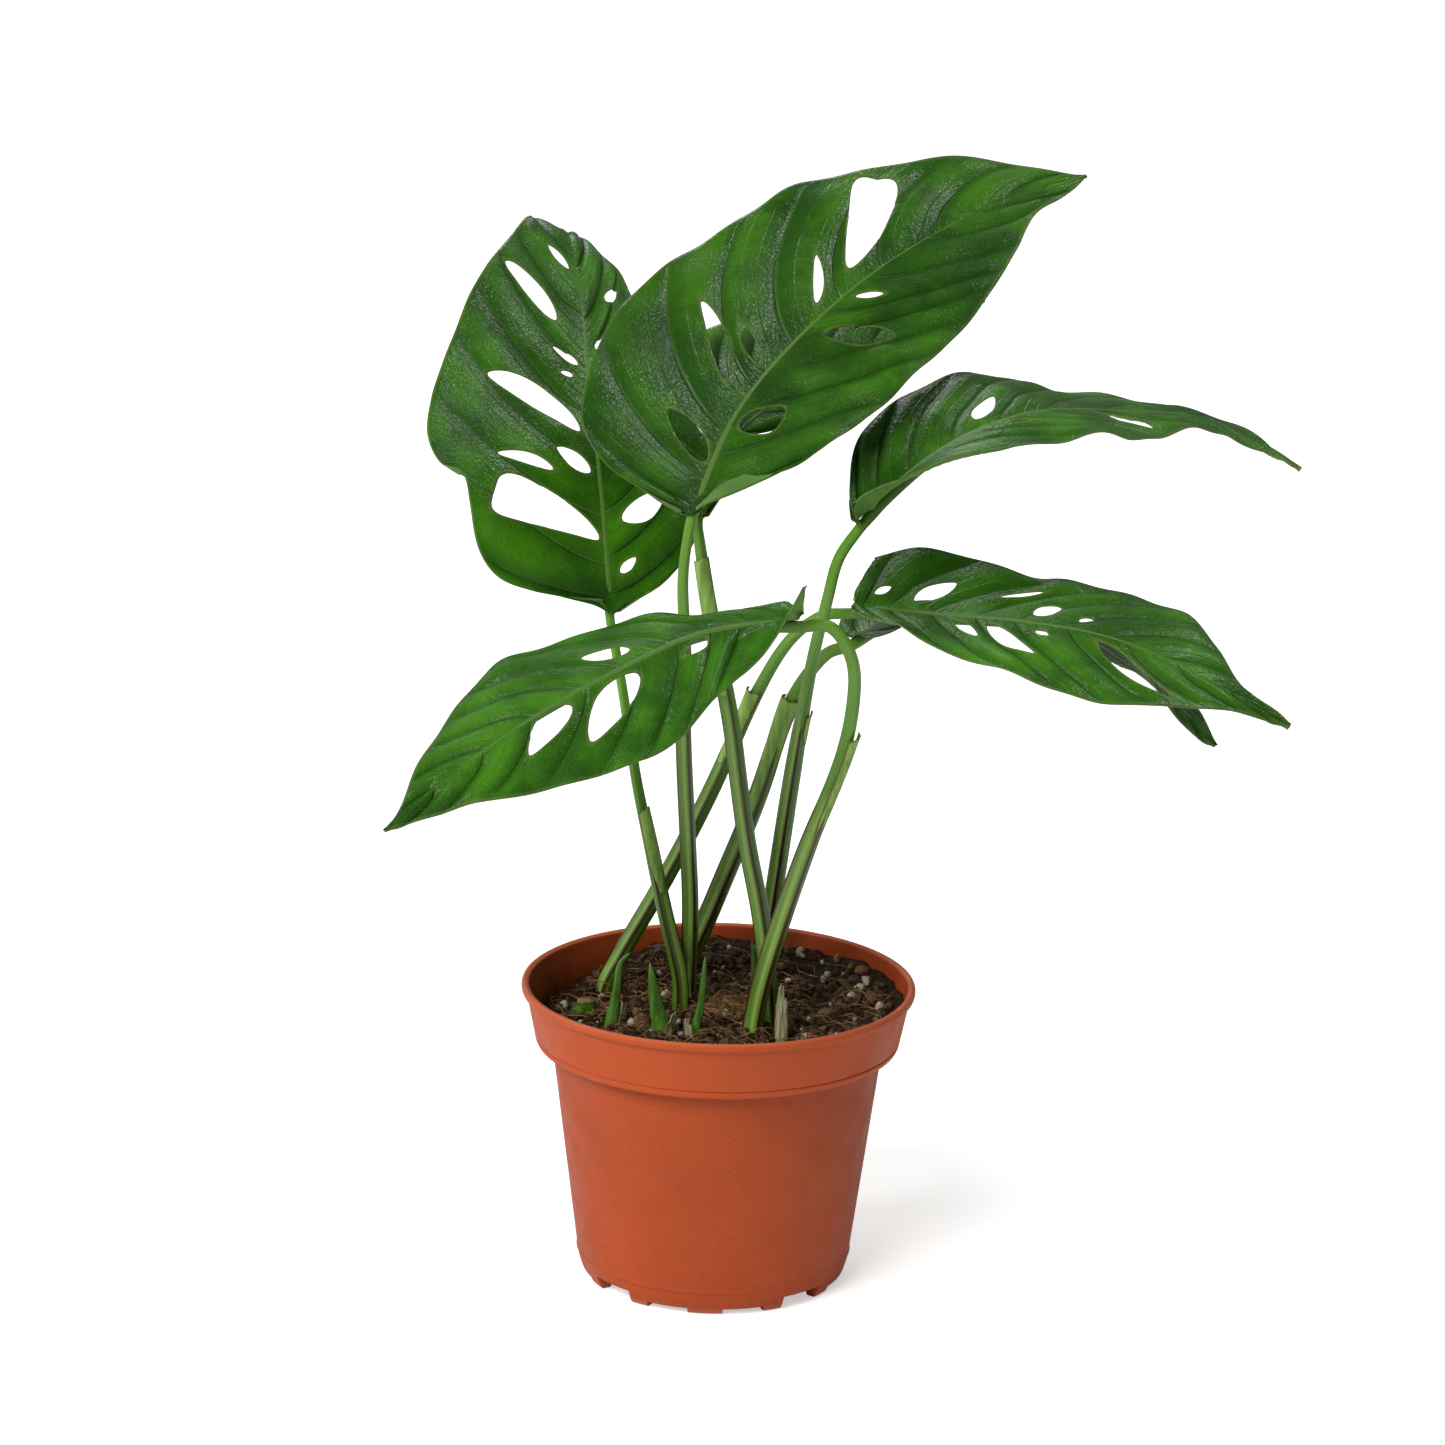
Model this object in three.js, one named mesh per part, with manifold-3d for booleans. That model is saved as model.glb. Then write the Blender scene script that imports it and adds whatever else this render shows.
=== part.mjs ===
// A young potted monstera with holed leaves: pot, soil, leaf blades, leaf stalks, shoots.
// Millimetres, +Z up. Origin: centre of the pot's base, on the surface the pot stands on.
import * as THREE from "three";
import { mergeVertices } from "three/addons/utils/BufferGeometryUtils.js";
import Module from "manifold-3d";

const wasm = await Module();
wasm.setup();

// ---- driving sizes ----
const GAP = 0.3; // clearance between neighbouring pieces

// pot
const POT_HEIGHT = 92.5;
const RIM_RADIUS = 60;
const BAND_STEP = 5.2; // how far the body's wall stands in from the foot of the band
const BODY_TAPER = 8.4; // how far the body narrows from the band down to the skirt
const SKIRT_INSET = 2.4; // how far the skirt narrows from the body down to the base
const BAND_HEIGHT = 19;
const BAND_TOP_INSET = 1.6;
const BAND_FOOT_INSET = 4.5;
const LIP_HEIGHT = 3.2;
const POT_WALL = 1.3;
const SKIRT_HEIGHT = 7.5;
const UNDERSIDE_HEIGHT = 4.4;
const FLOOR_THICKNESS = 1.6;
const CENTRE_PAD_RADIUS = 14;
const FOOT_RING_WIDTH = 4.5;
const FOOT_SLOPE = 1.5; // draft of the feet's inner faces
const POT_SIDES = 48;
// gaps between the pot's feet
const DEEP_NOTCH_COUNT = 4;
const DEEP_NOTCH_WIDTH = 13;
const DEEP_NOTCH_HEIGHT = 3.9;
const DEEP_NOTCH_START_DEG = 42;
const SHALLOW_NOTCH_WIDTH = 12;
const SHALLOW_NOTCH_HEIGHT = 1.5;
const SHALLOW_NOTCH_SPREAD_DEG = 17;
// drain holes through the floor
const DRAIN_LENGTH = 9;
const DRAIN_WIDTH = 5;
const DRAIN_INSET = 3.5; // from the foot ring to the hole's outer end

// soil
const SOIL_BELOW_RIM = 12.5;
const SOIL_DOME = 1.5;
const SOIL_RIPPLE = 0.8;
const SOIL_BANK = 8; // how far it is banked up against the wall at the back right
const BANK_SIDE = [0.71, 0.71];
const BANK_SPREAD = 0.5;

// leaf blades
const BLADE_THICKNESS = 0.8;
const MIDRIB_DEPTH = 1.7;
const MIDRIB_HALF_WIDTH = 2.2;
const BLADE_ROWS = 14;
const BLADE_COLUMNS = 5;
const TIP_HALF_WIDTH = 1;
const HOLE_POINTS = 10;

// leaf stalks: half widths across the groove at the foot, at the sheath's end and at the blade
const STALK_FOOT = 3.1;
const STALK_SHEATH = 2.8;
const STALK_NECK = 2.2;
const STALK_END = 1.8;
const STALK_FLATNESS = 0.88;
const STALK_SIDES = 10;
const STALK_STEP = 9;
const STALK_ROOT_DEPTH = 16;

// ---- leaf designs, in the plant's frame: its origin is the centre of the soil's surface ----
// midrib: points along the blade's centre line.
// pose: [share of length, roll, left inner, left outer, right inner, right outer] in degrees;
//   the roll turns the whole blade about its midrib, right side down, and the other four are
//   how far each half rises at the midrib and at the distance called span.
// left, right: the flattened blade's edge as [along the midrib, out from it].
// holes: [inner along, inner out, outer along, outer out, width, bow]; out is negative on the left.
const LEAVES = {
  upper_left: {
    midrib: [[-35, 28, 120], [-39, 49, 152], [-44, 74, 180], [-48, 104, 204], [-54, 138, 218],
      [-62, 168, 211]],
    span: 46,
    pose: [[0, 10, 8, 0, 8, -10], [0.5, 16, 6, -6, 0, -20], [1, 16, 6, -10, 0, -20]],
    left: [[4, 3], [4, 14], [5, 25], [9, 36], [18, 42], [32, 44], [41, 46], [44, 53], [54, 56],
      [66, 53], [78, 48], [90, 43], [104, 38], [117, 32], [128, 26], [142, 19], [158, 12], [174, 6]],
    right: [[1, 3], [5, 9], [10, 17], [18, 25], [29, 31], [43, 34], [60, 35], [78, 33], [96, 29],
      [112, 24], [126, 18], [140, 13], [156, 8], [172, 4]],
    holes: [[24, -2, 36, -36, 12, 2], [46, -3, 53, -14, 6, 0], [45, -16, 49, -34, 4, 1],
      [60, -5, 76, -34, 9, 2], [85, -3, 89, -12, 4, 0], [80, -5, 80, -10, 2, 0],
      [100, -10, 122, -25, 7, 1], [126, -3, 136, -9, 4, 0], [115, 9, 123, 13, 3.5, 0],
      [92, 3, 101, 9, 2.5, 0], [30, 6, 42, 21, 7.5, 1], [13, 4, 18, 9, 3, 0]],
  },
  top_front: {
    midrib: [[-11, -15, 161], [1, 12, 185], [20, 39, 204], [45, 62, 222], [75, 83, 236],
      [109, 98, 246]],
    span: 45,
    pose: [[0, 20, 14, 2, 6, -4], [0.5, 20, 14, 0, 4, -8], [1, 20, 10, 0, 4, -8]],
    left: [[0, 3], [0, 13], [3, 26], [9, 35], [18, 41], [34, 45], [56, 49], [78, 47], [100, 45],
      [120, 43], [134, 38], [147, 32], [160, 25], [170, 19], [178, 12], [186, 5]],
    right: [[6, 3], [12, 4], [18, 8], [20, 15], [26, 22], [36, 28], [50, 33], [66, 36], [88, 38],
      [106, 38], [124, 35], [140, 29], [154, 22], [166, 14], [176, 9], [186, 4]],
    holes: [[19, -2, 30, -18, 8, 1], [48, -8, 68, -30, 6.5, 2], [60, -4, 69, -17, 4.5, 0],
      [90, -4, 104, -17, 3.2, 1], [107, -6, 139, -30, 11.5, 2], [34, 4, 48, 12, 9.5, 1],
      [82, 6, 94, 23, 8.5, 1], [100, 3, 106, 10, 3, 0]],
  },
  lower_left: {
    midrib: [[21, -35, 135], [-6, -44, 133], [-30, -54, 124], [-53, -65, 113], [-75, -75, 99],
      [-96, -84, 83]],
    span: 38,
    pose: [[0, -23, 80, 95, -14, -30], [0.12, -23, 0, -14, -16, -50], [0.28, -23, -6, -24, -8, -40],
      [0.5, -23, -8, -27, -8, -30], [1, -23, -8, -24, -8, -24]],
    left: [[0, 3], [-7, 5], [-12, 10], [-9, 15], [-3, 14], [4, 11], [11, 12], [22, 18], [36, 23],
      [50, 28], [62, 30], [72, 29], [84, 26], [96, 22], [108, 17], [118, 11], [128, 6]],
    right: [[0, 3], [-5, 7], [-5, 12], [3, 16], [14, 17], [26, 18], [38, 22], [50, 28], [62, 34],
      [74, 38], [84, 37], [94, 32], [104, 25], [114, 16], [124, 9], [132, 4]],
    holes: [[50, 6, 62, 14, 6.5, 0], [75, -3, 94, -10, 8, 1], [53, -4, 77, -17, 10, 1],
      [29, -3, 39, -6, 4.5, 0], [12, -3, 19, -5, 2, 0]],
  },
  upper_right: {
    midrib: [[38, 4, 156], [62, 15, 175], [89, 30, 184], [118, 47, 182], [148, 59, 177],
      [176, 62, 162]],
    span: 36,
    pose: [[0, 10, 6, 4, 40, 60], [0.25, 8, 6, 4, 12, 18], [0.5, 6, 4, -4, 4, -4],
      [0.65, 4, 0, -13, 0, -2], [1, 4, -2, -18, 0, -10]],
    left: [[0, 3], [3, 8], [8, 15], [15, 22], [25, 28], [38, 32], [52, 34], [65, 34], [78, 33],
      [92, 30], [106, 26], [120, 22], [134, 17], [146, 11], [156, 5]],
    right: [[0, 3], [-5, 7], [-7, 14], [-4, 20], [4, 25], [16, 28], [30, 30], [46, 31], [62, 31],
      [78, 30], [94, 27], [108, 23], [124, 18], [138, 12], [150, 7], [158, 4]],
    holes: [[50, -5, 62, -14, 6, 0], [56, 5, 66, 10, 4, 0], [86, 4, 101, 18, 5, 1],
      [28, 4, 34, 6, 1.6, 0]],
  },
  lower_right: {
    midrib: [[38, 12, 128], [61, 3, 128], [87, -12, 130], [113, -26, 129], [139, -38, 121],
      [164, -42, 107]],
    span: 38,
    pose: [[0, 12, 14, 16, 22, 32], [0.12, 13, 10, 10, 14, 22], [0.24, 13, 6, 4, 6, 8],
      [0.34, 13, 2, -6, 2, -2], [0.48, 13, 0, -8, -2, -10], [0.66, 13, 0, -10, -6, -20],
      [0.8, 13, 0, -8, -8, -24], [1, 13, 0, -8, -6, -16]],
    left: [[0, 3], [-6, 8], [-7, 16], [-1, 24], [9, 29], [23, 31], [38, 30], [54, 30], [70, 32],
      [88, 31], [102, 25], [114, 18], [124, 11], [134, 5]],
    right: [[1, 3], [3, 8], [8, 13], [18, 18], [30, 22], [46, 26], [62, 29], [78, 30], [92, 28],
      [104, 23], [114, 16], [122, 10], [131, 5]],
    holes: [[18, -5, 26, -17, 7, 0], [5, -6, 9, -10, 3.5, 0], [41, -13, 53, -20, 2.7, 0],
      [57, -5, 62, -13, 7, 0], [71, -6, 75, -9, 2.6, 0], [35, 4, 47, 13, 4, 0],
      [46, 4, 68, 18, 5, 1], [62, 4, 67, 7, 3, 0], [82, 4, 110, 15, 5.5, 1]],
  },
  under_right: {
    midrib: [[38, 28, 114], [60, 37, 122], [85, 38, 120], [110, 34, 113], [132, 29, 102],
      [150, 22, 84]],
    span: 30,
    pose: [[0, -4, 6, 4, 14, 8], [0.2, -13, 4, 0, 4, 0], [0.6, -14, 2, -6, 2, -6],
      [0.82, -10, 0, -8, 0, -8], [1, 16, 0, -8, 0, -8]],
    left: [[0, 3], [0, 9], [5, 16], [13, 22], [24, 26], [40, 28], [56, 28], [72, 26], [88, 23],
      [102, 17], [114, 10], [122, 5]],
    right: [[0, 3], [-4, 10], [-2, 18], [6, 24], [20, 28], [38, 29], [56, 28], [72, 26], [88, 22],
      [102, 16], [114, 10], [122, 5]],
    holes: [[30, -4, 40, -16, 6, 1], [54, -4, 64, -15, 5, 1], [36, 4, 48, 16, 6, 1],
      [62, 4, 72, 14, 4, 1]],
  },
  top_rear: {
    midrib: [[-9, -1, 158], [0, 27, 174], [15, 55, 182], [34, 81, 189], [56, 105, 195],
      [80, 126, 201]],
    span: 32,
    pose: [[0, 16, 14, 4, 6, 0], [0.5, 16, 10, 0, 4, -8], [1, 16, 8, 0, 4, -8]],
    left: [[0, 3], [-3, 10], [0, 19], [8, 28], [22, 36], [40, 41], [60, 41],
      [80, 37], [98, 31], [114, 25], [130, 17], [144, 10], [156, 4]],
    right: [[2, 3], [10, 5], [20, 9], [32, 14], [46, 19], [62, 22], [80, 22], [98, 20], [114, 16],
      [130, 12], [144, 8], [156, 4]],
    holes: [[30, -5, 44, -22, 6, 1], [70, -5, 84, -20, 5, 1], [40, 4, 54, 16, 5, 1]],
  },
};

// ---- leaf stalks, from the soil up ----
// foot: where each leaves the soil, as shares of the room that the pot's wall leaves its root.
// beside: for a stalk that stands against another one, the way out from there to its own middle;
//   its points are then those of the line where the two meet.
const STALKS = {
  upper_left: {
    foot: [-0.15, 0.19],
    rise: [[-7, 10, 12], [-12, 13, 32], [-16, 16, 49], [-21, 20, 70], [-26, 26, 98]],
    sheath: 0.5,
    beside: [-5, -4],
  },
  top_front: {
    foot: [-0.21, 0.33],
    rise: [[-9, 8, 32], [-10, 3, 54], [-12, -4, 91], [-12, -9, 118], [-13, -13, 141]],
    sheath: 0.74,
  },
  top_rear: {
    foot: [0.37, -0.22],
    rise: [[13, -9, 33], [8, -8, 58], [5, -7, 77], [2, -6, 97], [-5, -3, 130]],
    sheath: 0.84,
  },
  lower_right: {
    foot: [-0.8, 0.57],
    rise: [[-30, 27, 12], [-17, 28, 36], [-4, 25, 64], [8, 20, 94], [18, 16, 114], [28, 13, 124]],
    sheath: 0.72,
  },
  under_right: {
    foot: [-0.26, 0.84],
    rise: [[-1, 35, 29], [11, 32, 62], [20, 30, 92], [30, 28, 108]],
    sheath: 0.74,
  },
  upper_right: {
    foot: [0.31, 0.94],
    rise: [[16, 36, 23], [21, 22, 69], [26, 6, 111], [30, 1, 132], [33, 0, 145]],
    sheath: 0.6,
  },
  lower_left: {
    foot: [0.23, -0.35],
    rise: [[14, -17, 22], [24, -21, 57], [35, -25, 91], [38, -29, 113], [36, -32, 125],
      [30, -34, 133]],
    sheath: 0.55,
  },
};

// ---- young shoots and old sheaths: foot as above, then points measured from the foot ----
const SHOOTS = {
  shoot_left: {
    foot: [-0.73, -0.19],
    rise: [[1.5, 1.5, 11], [2.5, 2.5, 19], [5.5, 2.5, 23]],
    widths: [1.9, 1.5, 0.8],
    flatness: 1,
  },
  shoot_pointed: {
    foot: [-0.38, -0.33],
    rise: [[-2, 1.5, 10], [-4, 2.5, 22]],
    widths: [2.6, 2.4, 0.7],
    flatness: 1,
  },
  shoot_thin: {
    foot: [-0.16, -0.38],
    rise: [[2, 2, 11], [3, 3, 25]],
    widths: [1.4, 1.2, 0.7],
    flatness: 1,
  },
  shoot_rear: {
    foot: [0.25, 0.74],
    rise: [[0, 0, 8], [-1, 0, 15]],
    widths: [1.5, 1.4, 0.7],
    flatness: 1,
  },
  dry_sheath: {
    foot: [0.43, -0.39],
    rise: [[0, 1.5, 9], [0, 1.5, 17]],
    widths: [2.3, 2.1, 1.2],
    flatness: 0.25,
  },
  old_stub: {
    foot: [-0.95, 0.05],
    rise: [[2, 0, 3], [2, 0, 5]],
    widths: [3.2, 3.1, 2.9],
    flatness: 0.85,
  },
};
const SHOOT_ROOT_DEPTH = 7;

// ---- small helpers ----
const deg = THREE.MathUtils.degToRad;
const UP = new THREE.Vector3(0, 0, 1);
const GROOVE_SIDE = new THREE.Vector3(0, -1, 0);

/** Smooth values through stations [position, value, value...]: cubic pieces with shared slopes. */
function profileAt(stations, position) {
  const last = stations.length - 1;
  const x = THREE.MathUtils.clamp(position, stations[0][0], stations[last][0]);
  let i = 0;
  while (i < last - 1 && x >= stations[i + 1][0]) i += 1;
  const slope = (k, c) => {
    const a = stations[Math.max(k - 1, 0)];
    const b = stations[Math.min(k + 1, last)];
    return (b[c] - a[c]) / (b[0] - a[0]);
  };
  const width = stations[i + 1][0] - stations[i][0];
  const w = (x - stations[i][0]) / width;
  const values = [];
  for (let c = 1; c < stations[0].length; c += 1) {
    const start = stations[i][c] * (2 * w ** 3 - 3 * w ** 2 + 1);
    const end = stations[i + 1][c] * (3 * w ** 2 - 2 * w ** 3);
    const leave = slope(i, c) * width * (w ** 3 - 2 * w ** 2 + w);
    const arrive = slope(i + 1, c) * width * (w ** 3 - w ** 2);
    values.push(start + end + leave + arrive);
  }
  return values;
}

function smoothCurve(points) {
  const vectors = points.map((p) => new THREE.Vector3(p[0], p[1], p[2] ?? 0));
  return new THREE.CatmullRomCurve3(vectors, false, "catmullrom", 0.5);
}

/** Turns a closed triangle list with shared corners into a solid. */
function solidFrom(positions, triangles) {
  return new wasm.Manifold(new wasm.Mesh({
    numProp: 3,
    vertProperties: new Float32Array(positions),
    triVerts: new Uint32Array(triangles),
  }));
}

function solidFromGeometry(geometry) {
  const bare = geometry.clone();
  bare.deleteAttribute("normal");
  bare.deleteAttribute("uv");
  const merged = mergeVertices(bare, 1e-4);
  return solidFrom(merged.attributes.position.array, merged.index.array);
}

function geometryFrom(positions, triangles) {
  const geometry = new THREE.BufferGeometry();
  geometry.setAttribute("position", new THREE.BufferAttribute(new Float32Array(positions), 3));
  geometry.setIndex(new THREE.BufferAttribute(new Uint32Array(triangles), 1));
  geometry.computeVertexNormals();
  return geometry;
}

function geometryFromSolid(solid) {
  const mesh = solid.getMesh();
  return geometryFrom(mesh.vertProperties, mesh.triVerts);
}

/** Triangles of a closed solid between two equal grids of points, first grid outside. */
function slabTriangles(rows, columns, offset) {
  const triangles = [];
  const at = (layer, row, column) => layer * offset + row * columns + column;
  for (let r = 0; r < rows - 1; r += 1) {
    for (let c = 0; c < columns - 1; c += 1) {
      const top = [at(0, r, c), at(0, r, c + 1), at(0, r + 1, c + 1), at(0, r + 1, c)];
      const low = top.map((k) => k + offset);
      triangles.push(top[0], top[1], top[2], top[0], top[2], top[3]);
      triangles.push(low[0], low[2], low[1], low[0], low[3], low[2]);
    }
  }
  const edge = [];
  for (let c = 0; c < columns - 1; c += 1) edge.push(at(0, 0, c));
  for (let r = 0; r < rows - 1; r += 1) edge.push(at(0, r, columns - 1));
  for (let c = columns - 1; c > 0; c -= 1) edge.push(at(0, rows - 1, c));
  for (let r = rows - 1; r > 0; r -= 1) edge.push(at(0, r, 0));
  edge.forEach((a, k) => {
    const b = edge[(k + 1) % edge.length];
    triangles.push(a, a + offset, b + offset, a, b + offset, b);
  });
  return triangles;
}

// ---- leaf blades: a flat pattern, holed, then bent along its midrib ----
class BladeShape {
  constructor(design) {
    this.design = design;
    this.curve = smoothCurve(design.midrib);
    this.length = this.curve.getLength();
  }

  /** Point, directions and side angles where the blade is cut square at one station. */
  frameAt(along) {
    const clamp = (x) => THREE.MathUtils.clamp(x / this.length, 0, 1);
    const reach = this.length / 100;
    const before = this.curve.getPointAt(clamp(along - reach));
    const after = this.curve.getPointAt(clamp(along + reach));
    const forward = after.sub(before).normalize();
    const inside = THREE.MathUtils.clamp(along, 0, this.length);
    const centre = this.curve.getPointAt(clamp(inside)).addScaledVector(forward, along - inside);
    const level = new THREE.Vector3().crossVectors(forward, UP).normalize();
    const normal = new THREE.Vector3().crossVectors(level, forward);
    const [roll, ...angles] = profileAt(this.design.pose, clamp(inside));
    const turn = deg(roll);
    const right = level.clone().multiplyScalar(Math.cos(turn));
    right.addScaledVector(normal, -Math.sin(turn));
    normal.multiplyScalar(Math.cos(turn)).addScaledVector(level, Math.sin(turn));
    return { centre, forward, right, normal, angles };
  }

  /** Flat pattern point (along, out) and height above the pattern, carried onto the bent blade. */
  bend(along, out, height) {
    const { centre, right, normal, angles } = this.frameAt(along);
    const side = out >= 0 ? 1 : -1;
    const inner = deg(out >= 0 ? angles[2] : angles[0]);
    const outer = deg(out >= 0 ? angles[3] : angles[1]);
    let curl = (outer - inner) / this.design.span;
    if (Math.abs(curl) < 1e-6) curl = 1e-6;
    const angle = inner + curl * Math.abs(out);
    const across = (Math.sin(angle) - Math.sin(inner)) / curl - height * Math.sin(angle);
    const rise = (Math.cos(inner) - Math.cos(angle)) / curl + height * Math.cos(angle);
    return centre.addScaledVector(right, side * across).addScaledVector(normal, rise);
  }
}

const PATTERN_CAMBER = 3e-4; // keeps the pattern's grid while holes are cut; taken out by the bend
const camber = (x, y) => PATTERN_CAMBER * (x * x + y * y);

/** Flat pattern corner: share 0 to 1 from base to tip, column from the midrib outwards. */
function patternPoint(edge, length, share, column) {
  const rim = edge.getPointAt(share);
  const station = length * share ** 1.9;
  const ridge = Math.min(MIDRIB_HALF_WIDTH, 0.4 * rim.y);
  const out = column === 0 ? 0 : ridge + ((rim.y - ridge) * (column - 1)) / (BLADE_COLUMNS - 1);
  const reach = out / rim.y;
  const drift = rim.x - station;
  return [station + drift * reach ** (drift < 0 ? 3 : 1.3), out];
}

function holePrism([alongIn, outIn, alongOut, outOut, width, bow]) {
  const start = new THREE.Vector2(alongIn, outIn);
  const reach = new THREE.Vector2(alongOut, outOut).sub(start);
  const half = reach.length() / 2;
  const middle = start.clone().addScaledVector(reach, 0.5);
  const way = reach.normalize();
  const points = [];
  for (let k = 0; k < HOLE_POINTS; k += 1) {
    const turn = (2 * Math.PI * k) / HOLE_POINTS;
    const x = Math.cos(turn);
    const y = (Math.sin(turn) * width * (1 - 0.18 * x)) / 2 + bow * (1 - x * x);
    points.push(new THREE.Vector2(
      middle.x + way.x * half * x - way.y * y,
      middle.y + way.y * half * x + way.x * y,
    ));
  }
  const depth = 80;
  const geometry = new THREE.ExtrudeGeometry(new THREE.Shape(points), {
    depth,
    bevelEnabled: false,
  });
  geometry.translate(0, 0, -depth / 2);
  return solidFromGeometry(geometry);
}

function bladeGeometry(shape) {
  const { design, length } = shape;
  const edges = ["left", "right"].map(
    (side) => smoothCurve([...design[side], [length, TIP_HALF_WIDTH]]),
  );
  const columns = 2 * BLADE_COLUMNS + 1;
  const rows = BLADE_ROWS + 1;
  const top = [];
  const low = [];
  for (let r = 0; r < rows; r += 1) {
    for (let c = -BLADE_COLUMNS; c <= BLADE_COLUMNS; c += 1) {
      const edge = edges[c < 0 ? 0 : 1];
      const [along, out] = patternPoint(edge, length, r / BLADE_ROWS, Math.abs(c));
      const y = c < 0 ? -out : out;
      const rib = c === 0 && r > 0 ? MIDRIB_DEPTH * (1 - along / length) ** 0.8 : 0;
      top.push(along, y, BLADE_THICKNESS / 2 + camber(along, y));
      low.push(along, y, -BLADE_THICKNESS / 2 - rib + camber(along, y));
    }
  }
  const triangles = slabTriangles(rows, columns, rows * columns);
  // the columns run right as rows run forward, so each face is turned to look outwards
  for (let k = 0; k < triangles.length; k += 3) {
    [triangles[k + 1], triangles[k + 2]] = [triangles[k + 2], triangles[k + 1]];
  }
  let plate = solidFrom([...top, ...low], triangles);
  for (const hole of design.holes) plate = plate.subtract(holePrism(hole));
  const { vertProperties, triVerts } = plate.getMesh();
  const positions = [];
  for (let k = 0; k < vertProperties.length; k += 3) {
    const [x, y, z] = vertProperties.subarray(k, k + 3);
    // the pattern's out is to the right, which mirrors it, so the faces are turned back below
    positions.push(...shape.bend(x, y, z - camber(x, y)).toArray());
  }
  const faces = Array.from(triVerts);
  for (let k = 0; k < faces.length; k += 3) {
    [faces[k + 1], faces[k + 2]] = [faces[k + 2], faces[k + 1]];
  }
  return geometryFrom(positions, faces);
}

// ---- stalks and shoots: an oval section carried along a curve ----
/** Positions and triangles of the swept solid; grow widens it for the hole that it sits in. */
function sweep(points, stations, flatness, step, grow = 0) {
  const curve = smoothCurve(points);
  const rings = Math.max(3, Math.round(curve.getLength() / step));
  const positions = [];
  const triangles = [];
  for (let r = 0; r <= rings; r += 1) {
    const share = r / rings;
    const forward = curve.getTangentAt(share);
    const centre = curve.getPointAt(share);
    const across = new THREE.Vector3().crossVectors(forward, GROOVE_SIDE).normalize();
    const depth = new THREE.Vector3().crossVectors(across, forward);
    const [width] = profileAt(stations, share);
    for (let k = 0; k < STALK_SIDES; k += 1) {
      const turn = (2 * Math.PI * k) / STALK_SIDES;
      const corner = centre.clone();
      corner.addScaledVector(across, Math.cos(turn) * (width + grow));
      corner.addScaledVector(depth, Math.sin(turn) * (width * flatness + grow));
      positions.push(...corner.toArray());
    }
  }
  for (let r = 0; r < rings; r += 1) {
    for (let k = 0; k < STALK_SIDES; k += 1) {
      const a = r * STALK_SIDES + k;
      const b = r * STALK_SIDES + ((k + 1) % STALK_SIDES);
      triangles.push(a, a + STALK_SIDES, b, b, a + STALK_SIDES, b + STALK_SIDES);
    }
  }
  const last = rings * STALK_SIDES;
  for (let k = 1; k < STALK_SIDES - 1; k += 1) {
    triangles.push(0, k, k + 1, last, last + k + 1, last + k);
  }
  return { positions, triangles };
}

/** A sweep whose triangles face outwards, whichever way its section was wound. */
function sweepSolid(...options) {
  const { positions, triangles } = sweep(...options);
  const flipped = [];
  for (let k = 0; k < triangles.length; k += 3) {
    flipped.push(triangles[k], triangles[k + 2], triangles[k + 1]);
  }
  const solid = solidFrom(positions, triangles);
  return solid.volume() > 0 ? solid : solidFrom(positions, flipped);
}

// ---- pot ----
const BAND_FOOT = POT_HEIGHT - BAND_HEIGHT;
const FLOOR_TOP = UNDERSIDE_HEIGHT + FLOOR_THICKNESS;
const SOIL_TOP = POT_HEIGHT - SOIL_BELOW_RIM;
const BAND_FOOT_RADIUS = RIM_RADIUS - BAND_FOOT_INSET;
const BAND_TOP_RADIUS = RIM_RADIUS - BAND_TOP_INSET;
const BODY_TOP_RADIUS = BAND_FOOT_RADIUS - BAND_STEP;
const BODY_FOOT_RADIUS = BODY_TOP_RADIUS - BODY_TAPER;
const BASE_RADIUS = BODY_FOOT_RADIUS - SKIRT_INSET;
const DRAIN_RADIUS = BASE_RADIUS - FOOT_RING_WIDTH - DRAIN_INSET - DRAIN_LENGTH / 2;
const NOTCH_OVERRUN = 2; // how far a notch's cutter passes both faces of the foot ring
const STEP_ROUND = 1.4;
const LIP_EDGE = 0.3;

/** The pot's inner wall from floor to rim, as [radius, height]. */
function innerWall() {
  return [
    [BASE_RADIUS - POT_WALL + (BODY_FOOT_RADIUS - BASE_RADIUS) / 2, FLOOR_TOP],
    [BODY_FOOT_RADIUS - POT_WALL, SKIRT_HEIGHT + POT_WALL],
    [BODY_TOP_RADIUS - POT_WALL, BAND_FOOT],
    [BODY_TOP_RADIUS - POT_WALL + STEP_ROUND / 2, BAND_FOOT + STEP_ROUND],
    [BAND_FOOT_RADIUS - POT_WALL - STEP_ROUND / 2, BAND_FOOT + STEP_ROUND],
    [BAND_FOOT_RADIUS - POT_WALL, BAND_FOOT + 2 * STEP_ROUND],
    [BAND_TOP_RADIUS - POT_WALL, POT_HEIGHT - LIP_HEIGHT],
  ];
}

function radiusAt(wall, height) {
  return profileLine(wall.map(([radius, z]) => [z, radius]), height);
}

/** Straight lines between [position, value] pairs. */
function profileLine(pairs, position) {
  let i = 0;
  while (i < pairs.length - 2 && position >= pairs[i + 1][0]) i += 1;
  const share = (position - pairs[i][0]) / (pairs[i + 1][0] - pairs[i][0]);
  return pairs[i][1] + (pairs[i + 1][1] - pairs[i][1]) * share;
}

function notch(width, height, angle, radius, length) {
  const box = new THREE.BoxGeometry(length, width, 2 * height);
  box.translate(radius, 0, 0);
  box.rotateZ(angle);
  return solidFromGeometry(box);
}

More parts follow.
